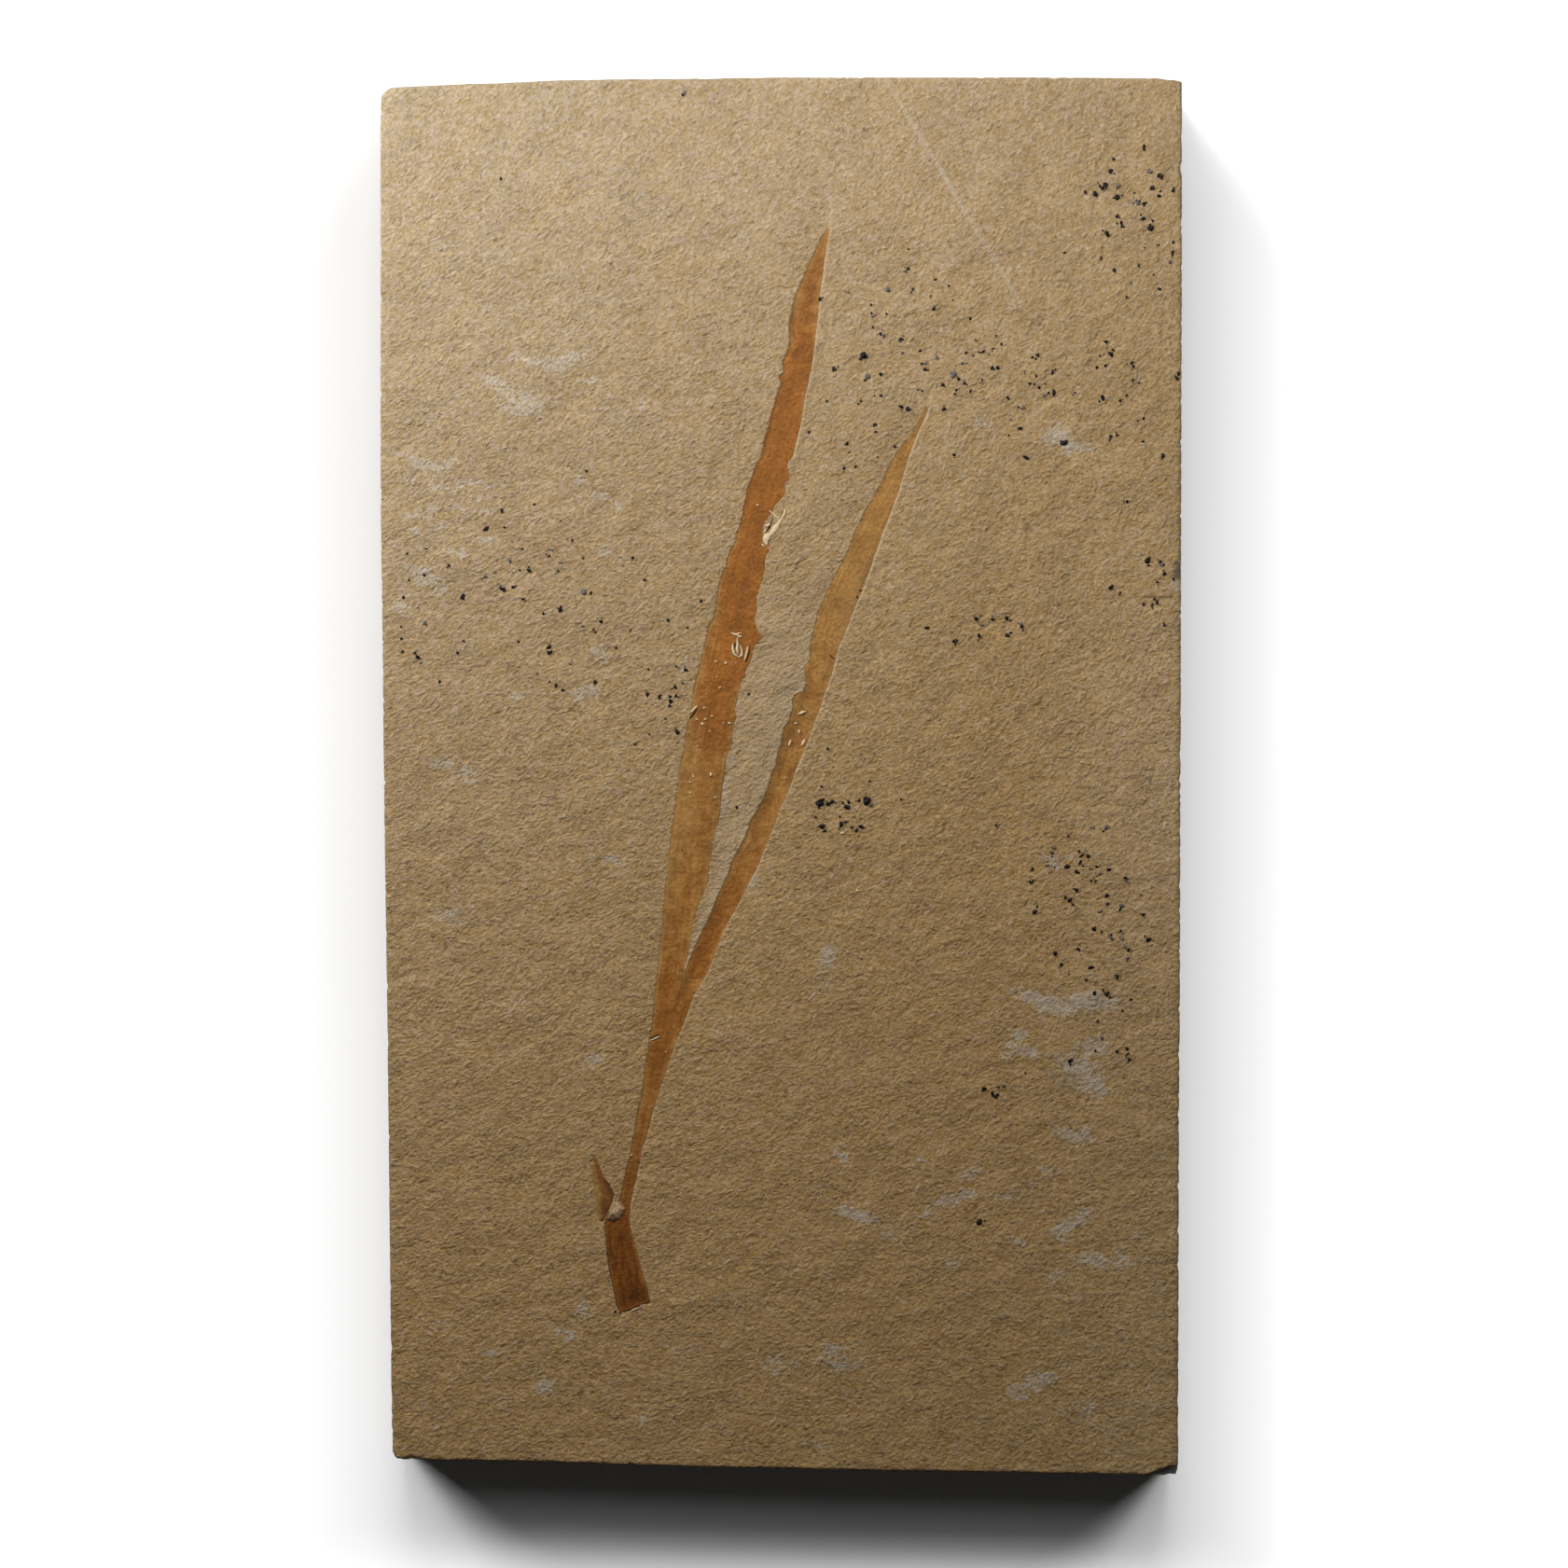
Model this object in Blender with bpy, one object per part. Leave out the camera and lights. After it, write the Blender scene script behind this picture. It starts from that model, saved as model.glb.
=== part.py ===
"""A sawn plate of fine buff limestone with a forked strap leaf, its stem and a side leaf.

Metres, +Z up. The plate lies on its flat back, the face with the fossil looks up, the
leaf's tips point to +Y, and the origin is the middle of the back.

Outlines are read off the picture by hand, as (x, y) in its pixels, with y running down.
PLATE_LENGTH is the real size that sets the scale of all of them.
"""

import bmesh
import bpy
import numpy as np
from mathutils import Vector

PLATE_LENGTH = 0.360
PLATE_THICKNESS = 0.022
PLATE_LENGTH_PX = 1500.0
PIXEL = PLATE_LENGTH / PLATE_LENGTH_PX
MIDDLE_PX = (838.0, 833.0)

GAP = 0.0003
FILM_THICKNESS = 0.0006
FILM_STEP = 0.0003
FILM_CROWN = 0.00008
FILM_TOP = PLATE_THICKNESS - FILM_STEP
FILM_BOTTOM = FILM_TOP - FILM_THICKNESS
RECESS_FLOOR = FILM_BOTTOM - GAP
RECESS_GROW = 0.00038
CUTTER_TOP = PLATE_THICKNESS + 0.004

# The plate's four sides: x at y down the left and right, y at x along the top and bottom.
LEFT_SIDE_PX = ((408, 84), (408, 540), (410, 700), (412, 870), (415, 1080), (418, 1340), (420, 1583))
RIGHT_SIDE_PX = ((1268, 84), (1267, 300), (1266, 600), (1266, 1020), (1264, 1200), (1263, 1583))
TOP_SIDE_PX = ((408, 94), (440, 93), (500, 90), (600, 86), (720, 84), (840, 83), (1100, 83), (1268, 86))
BOTTOM_SIDE_PX = ((408, 1563), (500, 1566), (600, 1568), (720, 1572), (880, 1575), (1000, 1578), (1268, 1583))

# Rows and columns of the rough face, closer together along the broken arris.
FACE_COLUMNS = 34
FACE_ROWS = 60
EDGE_CELL = 0.4

# The arris: how far it is broken back, how deep the break reaches, and the back's bevel.
ARRIS_BREAK = 0.00045
ARRIS_DEPTH = 0.0016
BACK_BEVEL = 0.0005
BACK_BEVEL_HEIGHT = 0.0008

# Dents in the arris: middle in the picture, half-length and depth in metres.
DENTS = (
    ((1262, 611), 0.0030, 0.0012),
    ((420, 1536), 0.0010, 0.0006),
    ((443, 1565), 0.0022, 0.0010),
    ((1266, 640), 0.0014, 0.0005),
)

# Broken corners: two points of the break's upper line, and how steeply it falls away.
CORNER_BREAKS = (
    ((1230.0, 1583.0), (1264.5, 1567.0), 1.0),
    ((408.5, 105.0), (415.5, 93.0), 0.25),
    ((430.0, 1566.0), (421.5, 1556.0), 0.35),
)

# Height of the face: rough lumps of two sizes, and the slopes beside the leaf.
LUMP_CELL = 0.0105
LUMP_HEIGHT = 0.00022
ROUGH_CELL = 0.0052
ROUGH_HEIGHT = 0.00020
SHOULDER_DROP = 0.00045
SHOULDER_WIDTH = 0.0075
VALLEY_DROP = 0.00050
LIP_RISE = 0.00022

# Margins of the leaf, the stem and the side leaf, from the top down.
LONG_LOBE_LEFT_PX = (
    (887.2, 240), (881.5, 254), (868, 281), (855.5, 310), (846, 350), (846.5, 370), (838.7, 390),
    (840.5, 399), (833, 404), (838.5, 411), (830.5, 432), (820.5, 469), (809, 505), (800, 530),
    (795.5, 555), (788, 580), (779.5, 604), (770.5, 632), (767, 655), (757, 685), (748, 723),
    (742, 757), (736, 786), (728, 834), (722.5, 871), (716, 937), (709.5, 1000), (704, 1046.4),
)
LONG_LOBE_RIGHT_PX = (
    (888.8, 240), (884.5, 271), (878, 321), (873, 369), (865, 413), (858, 452), (850.5, 488),
    (844, 497), (846.6, 514), (840.5, 520), (842.5, 526), (829, 546), (818, 560), (816.5, 578),
    (824, 583), (820, 600), (813.5, 632), (808.7, 667), (817.9, 683), (808, 694), (803, 714),
    (792, 740), (788.5, 768), (785, 796), (776.5, 829), (771, 876), (759, 935), (748, 972),
    (737.5, 1020), (731.6, 1046.4),
)
SHORT_LOBE_LEFT_PX = (
    (998.6, 432), (980.3, 462), (961, 487), (942, 524), (920.5, 565), (902, 606), (887, 636),
    (877, 656), (869, 692), (869, 709), (861.5, 715), (864, 738), (853, 742), (850, 760),
    (841, 779), (832, 822), (820, 852), (803, 889), (785, 924), (768, 962), (748, 1008),
    (733.4, 1046.4),
)
SHORT_LOBE_RIGHT_PX = (
    (1000.2, 432), (989, 452), (974, 490), (962.5, 529), (943.5, 580), (928, 623), (909, 671),
    (893, 719), (879, 760), (859, 811), (844, 851), (822.4, 904), (798, 956), (774, 1002),
    (756, 1046.4),
)
STALK_LEFT_PX = ((703.6, 1048), (698.5, 1103), (692, 1143), (685, 1187), (676, 1235), (669, 1267), (661, 1300))
STALK_RIGHT_PX = ((755, 1048), (738, 1083), (719, 1133), (701, 1188), (687, 1241), (678.5, 1279), (674.6, 1300))
STEM_LEFT_PX = ((660, 1301.6), (649, 1310), (650.7, 1343), (655, 1371), (660.5, 1400), (665.5, 1408.4))
STEM_RIGHT_PX = ((674.7, 1301.6), (679, 1329), (687, 1359), (697, 1395.5), (680, 1403), (667, 1408.4))
SIDE_LEAF_LEFT_PX = ((636.8, 1240), (634.6, 1248), (636.2, 1269), (638.5, 1298), (643, 1307.5))
SIDE_LEAF_RIGHT_PX = ((638.2, 1240), (641.6, 1248), (653.5, 1269), (658.4, 1280), (652, 1298), (645.5, 1307.5))

# The lump of crust in the fork of the stem: middle, half-widths and height over the film.
LUMP_MIDDLE_PX = (661.0, 1298.0)
LUMP_HALF_WIDTHS = (0.0023, 0.0030)
LUMP_RISE = 0.0014
LUMP_SIDES = 14
LUMP_RINGS = ((0.88, 0.0), (1.0, 0.3), (0.8, 0.72), (0.42, 0.95))

STONE = ("buff_limestone", (0.42, 0.31, 0.18), 0.9)
LEAF = ("leaf_film", (0.36, 0.16, 0.04), 0.6)
STEM = ("stem_film", (0.20, 0.08, 0.03), 0.6)
CRUST = ("pale_crust", (0.45, 0.38, 0.30), 0.9)


def metres(x_px, y_px):
    """Plan position in metres of a place in the picture."""
    return (x_px - MIDDLE_PX[0]) * PIXEL, (MIDDLE_PX[1] - y_px) * PIXEL


def pixels(x, y):
    """Place in the picture of a plan position in metres."""
    return x / PIXEL + MIDDLE_PX[0], MIDDLE_PX[1] - y / PIXEL


def x_at(margin_px, y_px):
    """x of a margin, or of a side that runs down the plate, at a height in the picture."""
    margin = np.array(margin_px, float)
    return np.interp(y_px, margin[:, 1], margin[:, 0])


def material(finish):
    name, colour, roughness = finish
    made = bpy.data.materials.new(name)
    made.use_nodes = True
    shader = made.node_tree.nodes["Principled BSDF"]
    shader.inputs["Base Color"].default_value = (*colour, 1.0)
    shader.inputs["Roughness"].default_value = roughness
    return made


def add_object(name, points, faces, finish=None):
    """A new object with its faces turned outwards. One with no finish is a cutter."""
    mesh = bpy.data.meshes.new(name)
    mesh.from_pydata([tuple(point) for point in points], [], faces)
    shape = bmesh.new()
    shape.from_mesh(mesh)
    bmesh.ops.recalc_face_normals(shape, faces=shape.faces)
    shape.to_mesh(mesh)
    shape.free()
    made = bpy.data.objects.new(name, mesh)
    bpy.context.scene.collection.objects.link(made)
    if finish is None:
        made.hide_render = True
        made.display_type = "WIRE"
    else:
        mesh.materials.append(material(finish))
    return made


def lattice_noise(x, y, cell, seed):
    """Random heights from -1 to 1 on a square lattice, joined by smooth steps between them."""
    count = int(PLATE_LENGTH / cell) + 8
    heights = np.random.default_rng(seed).uniform(-1.0, 1.0, (count, count))
    column = x / cell + count / 2
    row = y / cell + count / 2
    i = np.floor(column).astype(int)
    j = np.floor(row).astype(int)
    s = column - i
    t = row - j
    s = s * s * (3 - 2 * s)
    t = t * t * (3 - 2 * t)
    low = heights[i, j] * (1 - s) + heights[i + 1, j] * s
    high = heights[i, j + 1] * (1 - s) + heights[i + 1, j + 1] * s
    return low * (1 - t) + high * t


def fade(value, start, end):
    """Smooth step from 0 at start to 1 at end."""
    t = np.clip((value - start) / (end - start), 0.0, 1.0)
    return t * t * (3 - 2 * t)


def face_height(x, y):
    """Height of the face: rough lumps, a dip that leads down to the long lobe from its left,
    and between the two lobes a shallow valley that rises to a lip along the short lobe."""
    x_px, y_px = pixels(x, y)
    long_left = x_at(LONG_LOBE_LEFT_PX, y_px)
    long_right = x_at(LONG_LOBE_RIGHT_PX, y_px)
    short_left = x_at(SHORT_LOBE_LEFT_PX, y_px)
    beside = (long_left - x_px) * PIXEL / SHOULDER_WIDTH
    along = fade(y_px, 300, 420) * (1 - fade(y_px, 950, 1080))
    dip = np.exp(-(beside ** 2)) * (beside > 0) * along
    across = np.clip((x_px - long_right) / np.maximum(short_left - long_right, 1.0), 0.0, 1.0)
    between = fade(y_px, 500, 620) * (1 - fade(y_px, 1010, 1045)) * (across < 1)
    valley = np.sin(np.pi * across) ** 2 * between
    lip = fade(across, 0.55, 1.0) * between
    height = PLATE_THICKNESS
    height = height + LUMP_HEIGHT * lattice_noise(x, y, LUMP_CELL, 3)
    height = height + ROUGH_HEIGHT * lattice_noise(x, y, ROUGH_CELL, 5)
    return height - SHOULDER_DROP * dip - VALLEY_DROP * valley + LIP_RISE * lip


def spread(cells):
    """Positions from 0 to 1 with a shorter cell at each end."""
    widths = np.ones(cells)
    widths[[0, -1]] = EDGE_CELL
    return np.concatenate([[0.0], np.cumsum(widths)]) / widths.sum()


def plate_outline_grid():
    """Plan positions of the face's rows and columns, straight between the four sides."""
    across, up = np.meshgrid(spread(FACE_COLUMNS), spread(FACE_ROWS))
    nominal_x = LEFT_SIDE_PX[0][0] + (RIGHT_SIDE_PX[0][0] - LEFT_SIDE_PX[0][0]) * across
    bottom = np.interp(nominal_x, *np.array(BOTTOM_SIDE_PX, float).T)
    top = np.interp(nominal_x, *np.array(TOP_SIDE_PX, float).T)
    y_px = bottom + (top - bottom) * up
    left = x_at(LEFT_SIDE_PX, y_px)
    right = x_at(RIGHT_SIDE_PX, y_px)
    return metres(left + (right - left) * across, y_px)


def rim_order(rows, columns):
    """Numbers of the grid's outer points, once round, anticlockwise from the lower left."""
    number = np.arange(rows * columns).reshape(rows, columns)
    return np.concatenate([number[0, :-1], number[:-1, -1], number[-1, :0:-1], number[:0:-1, 0]])


def arris_break(x, y):
    """How far the arris is broken back at each rim point: small bites, and the dents."""
    bite = ARRIS_BREAK * (0.35 + 0.65 * np.abs(lattice_noise(x, y, ROUGH_CELL, 8)))
    for middle_px, half_length, depth in DENTS:
        dent_x, dent_y = metres(*middle_px)
        distance = np.hypot(x - dent_x, y - dent_y) / half_length
        bite = bite + depth * np.exp(-(distance ** 2))
    return bite


def stone_slab():
    """The face is a grid of rough cells. Its broken arris meets the sides below it, and the
    sides run down to a small bevel and a flat back."""
    x, y = plate_outline_grid()
    rows, columns = x.shape
    rim = rim_order(rows, columns)
    outline = np.stack([x.ravel()[rim], y.ravel()[rim]], axis=1)
    inward = -np.sign(outline) * (np.abs(outline) > np.abs(outline).max(axis=0) * 0.96)
    broken = outline + inward * arris_break(*outline.T)[:, None]
    x.ravel()[rim] = broken[:, 0]
    y.ravel()[rim] = broken[:, 1]
    face = np.stack([x.ravel(), y.ravel(), face_height(x, y).ravel()], axis=1)

    side_rings = (
        (outline, PLATE_THICKNESS - ARRIS_DEPTH),
        (outline, BACK_BEVEL_HEIGHT),
        (outline + inward * BACK_BEVEL, 0.0),
    )
    rings = [np.column_stack([plan, np.full(len(plan), height)]) for plan, height in side_rings]
    points = np.concatenate([face, *rings])

    number = np.arange(rows * columns).reshape(rows, columns)
    corners = (number[:-1, :-1], number[:-1, 1:], number[1:, 1:], number[1:, :-1])
    faces = np.stack([corner.ravel() for corner in corners], axis=1).tolist()
    upper = rim
    for step in range(len(rings)):
        lower = rows * columns + step * len(rim) + np.arange(len(rim))
        quads = np.stack([lower, np.roll(lower, -1), np.roll(upper, -1), upper], axis=1)
        faces += quads.tolist()
        upper = lower
    faces.append(upper[::-1].tolist())
    slab = add_object("stone_slab", points, faces, STONE)
    break_corners(slab)
    return slab


def break_corners(slab):
    """Cuts each broken corner off along a sloping plane and closes the cut."""
    shape = bmesh.new()
    shape.from_mesh(slab.data)
    for start_px, end_px, steepness in CORNER_BREAKS:
        start = Vector((*metres(*start_px), PLATE_THICKNESS))
        end = Vector((*metres(*end_px), PLATE_THICKNESS))
        outward = (end - start).cross(Vector((0, 0, 1))).normalized()
        if outward.dot(start) < 0:
            outward = -outward
        whole = shape.verts[:] + shape.edges[:] + shape.faces[:]
        cut = bmesh.ops.bisect_plane(
            shape,
            geom=whole,
            dist=1e-6,
            plane_co=start,
            plane_no=outward + Vector((0, 0, steepness)),
            clear_outer=True,
        )
        edges = [item for item in cut["geom_cut"] if isinstance(item, bmesh.types.BMEdge)]
        bmesh.ops.holes_fill(shape, edges=edges)
    bmesh.ops.recalc_face_normals(shape, faces=shape.faces)
    shape.to_mesh(slab.data)
    shape.free()


def strip(name, left_px, right_px, low, high, crown=0.0, grow=0.0, finish=None):
    """A flat band between two margins, with a station wherever either margin has a point.

    Each station has a left, middle and right point on top, the middle one raised by the
    crown, and two points below. Growing it moves its margins and its ends outwards.
    """
    first = max(left_px[0][1], right_px[0][1])
    last = min(left_px[-1][1], right_px[-1][1])
    stations = np.unique([y_px for _, y_px in left_px + right_px if first <= y_px <= last])
    left, y = metres(x_at(left_px, stations), stations)
    right, _ = metres(x_at(right_px, stations), stations)
    left = left - grow
    right = right + grow
    y[0] += grow
    y[-1] -= grow
    middle = (left + right) / 2
    columns = ((left, high), (middle, high + crown), (right, high), (right, low), (left, low))
    points = np.stack([np.column_stack([x, y, np.full(len(y), z)]) for x, z in columns], axis=1)
    sides = len(columns)
    faces = []
    for station in range(len(y) - 1):
        for side in range(sides):
            other = (side + 1) % sides
            here = station * sides
            below = here + sides
            faces.append((here + side, here + other, below + other, below + side))
    faces.append(tuple(range(sides)))
    faces.append(tuple(range(len(y) * sides - sides, len(y) * sides)))
    return add_object(name, points.reshape(-1, 3), faces, finish)


def film(name, left_px, right_px, finish):
    return strip(name, left_px, right_px, FILM_BOTTOM, FILM_TOP, crown=FILM_CROWN, finish=finish)


def carve(slab, name, left_px, right_px):
    """Cuts the shallow bed that a film lies in."""
    cutter = strip(name + "_bed", left_px, right_px, RECESS_FLOOR, CUTTER_TOP, grow=RECESS_GROW)
    cut = slab.modifiers.new(name + "_bed", "BOOLEAN")
    cut.operation = "DIFFERENCE"
    cut.solver = "EXACT"
    cut.object = cutter


def axil_lump():
    """A low knob of crust: rings of a dome with uneven radius, over a flat foot."""
    x, y = metres(*LUMP_MIDDLE_PX)
    base = FILM_TOP + FILM_CROWN + GAP
    angle = np.linspace(0.0, 2 * np.pi, LUMP_SIDES, endpoint=False)
    unevenness = np.random.default_rng(11)
    rings = []
    for reach, rise in LUMP_RINGS:
        radius = reach * unevenness.uniform(0.84, 1.0, LUMP_SIDES)
        height = base + LUMP_RISE * rise * unevenness.uniform(0.85, 1.0, LUMP_SIDES)
        plan_x = x + LUMP_HALF_WIDTHS[0] * radius * np.cos(angle)
        plan_y = y + LUMP_HALF_WIDTHS[1] * radius * np.sin(angle)
        rings.append(np.column_stack([plan_x, plan_y, height]))
    points = np.concatenate([*rings, [(x, y, base + LUMP_RISE)]])
    faces = [tuple(range(LUMP_SIDES))]
    for ring in range(len(rings) - 1):
        for side in range(LUMP_SIDES):
            here = ring * LUMP_SIDES + side
            beside = ring * LUMP_SIDES + (side + 1) % LUMP_SIDES
            faces.append((here, beside, beside + LUMP_SIDES, here + LUMP_SIDES))
    last = (len(rings) - 1) * LUMP_SIDES
    for side in range(LUMP_SIDES):
        faces.append((last + side, last + (side + 1) % LUMP_SIDES, len(points) - 1))
    return add_object("axil_lump", points, faces, CRUST)


FILMS = (
    ("long_lobe", LONG_LOBE_LEFT_PX, LONG_LOBE_RIGHT_PX, LEAF),
    ("short_lobe", SHORT_LOBE_LEFT_PX, SHORT_LOBE_RIGHT_PX, LEAF),
    ("leaf_stalk", STALK_LEFT_PX, STALK_RIGHT_PX, LEAF),
    ("stem", STEM_LEFT_PX, STEM_RIGHT_PX, STEM),
    ("side_leaf", SIDE_LEAF_LEFT_PX, SIDE_LEAF_RIGHT_PX, LEAF),
)


def main():
    for item in list(bpy.data.objects):
        bpy.data.objects.remove(item)
    slab = stone_slab()
    for name, left_px, right_px, finish in FILMS:
        carve(slab, name, left_px, right_px)
        film(name, left_px, right_px, finish)
    axil_lump()


main()
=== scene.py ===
"""The fossil leaf plate: a sawn limestone plate with a forked leaf on a short stem.

The photo looks straight down on the face, so places on the face are given in pixels of the photo
and turned into metres by one scale. Heights are in metres above the flat back.
"""

import bpy
import numpy as np
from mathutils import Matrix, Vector


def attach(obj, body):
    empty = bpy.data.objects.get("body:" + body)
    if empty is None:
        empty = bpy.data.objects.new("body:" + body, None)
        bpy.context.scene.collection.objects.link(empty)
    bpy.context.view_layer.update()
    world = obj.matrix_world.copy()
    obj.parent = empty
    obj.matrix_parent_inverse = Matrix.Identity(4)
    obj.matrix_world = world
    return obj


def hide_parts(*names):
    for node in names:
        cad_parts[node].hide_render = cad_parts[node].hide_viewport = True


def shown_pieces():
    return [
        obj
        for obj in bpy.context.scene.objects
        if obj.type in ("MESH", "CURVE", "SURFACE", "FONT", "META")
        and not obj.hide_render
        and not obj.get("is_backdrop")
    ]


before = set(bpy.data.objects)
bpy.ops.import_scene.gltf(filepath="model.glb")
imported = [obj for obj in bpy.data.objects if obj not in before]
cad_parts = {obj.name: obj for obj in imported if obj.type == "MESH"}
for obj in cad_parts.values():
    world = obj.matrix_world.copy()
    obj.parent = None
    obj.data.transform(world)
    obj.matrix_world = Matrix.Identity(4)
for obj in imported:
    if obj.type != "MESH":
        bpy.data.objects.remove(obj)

# Metres to a pixel of the photo, the pixel above the origin, the mean heights of the split face and
# of the film in metres, and the depth of the bed under the film in millimetres.
PIXEL = 0.00024
MIDDLE = (838.0, 833.0)
FACE = 0.02200
FILM = 0.02172
BED = 0.45
MM = 1e-3
# Heights down the photo: the tips of the two lobes, the fork, and both ends of the side leaf.
LONG_TIP, SHORT_TIP, FORK = 245, 437, 1045
SIDE_LEAF_TIP, SIDE_LEAF_FOOT = 1241, 1309

LEFT_SIDE = [(408, 84), (408, 540), (410, 690), (412, 870), (415, 1080), (418, 1350), (420, 1530),
             (421, 1576)]
RIGHT_SIDE = [(1267, 84), (1267, 300), (1266, 700), (1265, 1080), (1264, 1200), (1263, 1584)]
TOP_SIDE = [(408, 106), (409.5, 101), (412, 97.5), (416, 95), (422, 93.6), (440, 93), (500, 90), (560, 88),
            (600, 86), (660, 85), (760, 84), (840, 83), (1120, 83), (1240, 84), (1260, 86), (1267, 88)]
BOTTOM_SIDE = [(420, 1557), (424, 1563), (432, 1565), (500, 1566), (560, 1567), (600, 1568), (680, 1571),
               (720, 1572), (800, 1574), (860, 1575), (940, 1577), (1040, 1578), (1140, 1580),
               (1220, 1581), (1255, 1583), (1263, 1583)]

LONG_LEFT = [(888.0, 245), (881.6, 254), (875.5, 267), (868, 281), (861, 299), (855.5, 310), (851.5, 322),
             (848, 335), (845.5, 351), (846.8, 369), (844.3, 376), (841, 382), (838.7, 390), (840.7, 399),
             (832.6, 404), (838.7, 411), (835, 417), (830.5, 432), (826, 446), (824.4, 457), (820.8, 468),
             (819.3, 475), (815.5, 490), (809.5, 502), (805.8, 511), (801, 525), (798.7, 539),
             (795.6, 555), (791.5, 568), (788, 580), (784.4, 588), (780, 598), (779, 607), (773.7, 616),
             (771, 627), (768, 651), (765, 664), (759, 674), (756.6, 687), (753.6, 700), (751, 712),
             (748, 723), (745.4, 733), (743, 748), (741.8, 758), (739, 771), (736, 786), (734, 804),
             (730, 820), (728, 834), (726, 852), (723.7, 868), (721, 886), (719, 903), (717.5, 918),
             (715.6, 938), (714.4, 950), (712, 972), (709.8, 997), (706.6, 1029), (703.7, 1052),
             (701.4, 1073), (700.3, 1092), (698.5, 1103), (696.8, 1113), (695.7, 1122), (692, 1143),
             (690, 1161), (687.4, 1178), (685, 1187), (682.7, 1198), (680.8, 1210), (678, 1224),
             (676, 1235), (674.7, 1243), (671.6, 1254), (669, 1267), (666.3, 1279), (664.7, 1286)]
LONG_RIGHT = [(888.6, 245), (886.5, 255), (884.5, 271), (882.4, 288), (880, 305), (878, 321), (876.5, 335),
              (875, 349), (872.8, 369), (870.3, 388), (867.8, 401), (865, 413), (862, 425), (860, 440),
              (858, 452), (855, 466), (852, 479), (850.4, 488), (843.5, 498), (845.2, 508), (846.6, 514),
              (840.5, 519.6), (842.6, 526), (838, 534), (830.8, 541), (828.8, 548), (819.6, 559),
              (817.6, 568), (816.5, 578), (824, 582), (823.7, 590), (820.6, 597), (819, 610), (817, 623),
              (813.5, 632), (810.5, 641), (810.7, 654), (808.7, 667), (812, 677), (817.9, 683), (813, 688),
              (808, 693.5), (805, 708), (802, 714), (798.5, 719), (799.5, 725), (794.4, 730), (791.8, 740),
              (789.8, 749), (787.8, 760), (788.8, 768), (785.5, 782), (785, 796), (781, 808), (777, 818),
              (776.7, 829), (773.7, 844), (772, 872), (768.5, 887), (764, 904), (762, 920), (759, 935),
              (758, 947), (753.5, 958), (747.7, 972), (743.7, 986), (740.8, 1000), (737.6, 1019),
              (732.3, 1045)]
SHORT_LEFT = [(994.3, 437), (980.3, 462), (970.5, 474.6), (961, 487), (953, 501), (947, 514), (942, 524),
              (935, 537), (927, 550), (920, 565.5), (914.4, 578), (908, 594), (901.6, 606), (895.5, 617),
              (890.4, 628), (886.8, 636), (881, 648), (877, 656), (875.6, 666), (872, 677), (869, 692),
              (869, 709), (861.5, 715), (864, 723), (864, 734), (863, 741), (852.8, 744), (849, 750),
              (850.7, 759), (847.7, 766), (846.6, 773), (840.5, 778.6), (839, 787), (837, 798), (833, 810),
              (831.8, 822), (826.7, 828), (825.7, 837), (822.7, 846), (818.5, 855), (812, 869),
              (805.7, 878), (802.8, 889), (796, 902), (790, 913.5), (784.5, 924), (780, 939), (774, 950),
              (768.4, 962), (762.7, 977), (758, 989), (750, 1003), (743.5, 1019), (737.6, 1034),
              (732.9, 1045)]
SHORT_RIGHT = [(995.0, 437), (989, 452), (983.7, 464), (978.6, 478), (974, 490), (970.5, 503),
               (966.5, 516), (962.5, 529), (958, 541), (953, 555), (947.3, 569), (943.5, 580),
               (937.3, 597), (933, 610), (928, 623), (923.6, 636), (917, 649), (913, 661), (908.8, 671),
               (904.7, 682), (898.6, 695), (896, 707), (892.5, 719), (888, 734), (883, 747), (879, 760),
               (873.7, 773), (869.6, 785), (864.5, 798), (859.4, 811), (853, 826), (849.7, 837),
               (844, 851), (838.4, 863), (832.7, 876), (828, 890), (822.4, 904), (816.6, 917), (811, 931),
               (805, 942), (798, 956), (790, 972), (782, 986), (774, 1002), (767.5, 1020), (760.5, 1037),
               (753, 1052), (743.3, 1067), (737.6, 1083), (731.8, 1100), (725, 1115), (719, 1133),
               (713.5, 1151), (707.7, 1166), (704, 1178), (701, 1188), (698.8, 1195), (696.5, 1206),
               (694, 1215), (691, 1225), (688, 1232), (687, 1241), (684.7, 1249), (682.4, 1262),
               (679, 1275), (676, 1290), (674.5, 1304)]
STEM_LEFT = [(648.6, 1310), (648, 1315), (649.3, 1329), (650.7, 1343), (652, 1357), (655, 1371),
             (658.4, 1386), (660.5, 1400), (664.7, 1408)]
STEM_RIGHT = [(674.5, 1304), (676, 1317), (678.8, 1329), (683, 1343), (687, 1359), (691.4, 1373),
              (695, 1386), (697, 1395.5)]
SIDE_LEAF_LEFT = [(637.0, 1241), (634.6, 1248), (634.6, 1262), (636.8, 1280), (638.8, 1298.6), (643, 1309)]
SIDE_LEAF_RIGHT = [(637.8, 1241), (641.6, 1248), (647, 1261), (653.5, 1269), (658.4, 1280), (655.6, 1289),
                   (652, 1298.6), (647.5, 1308)]

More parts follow.
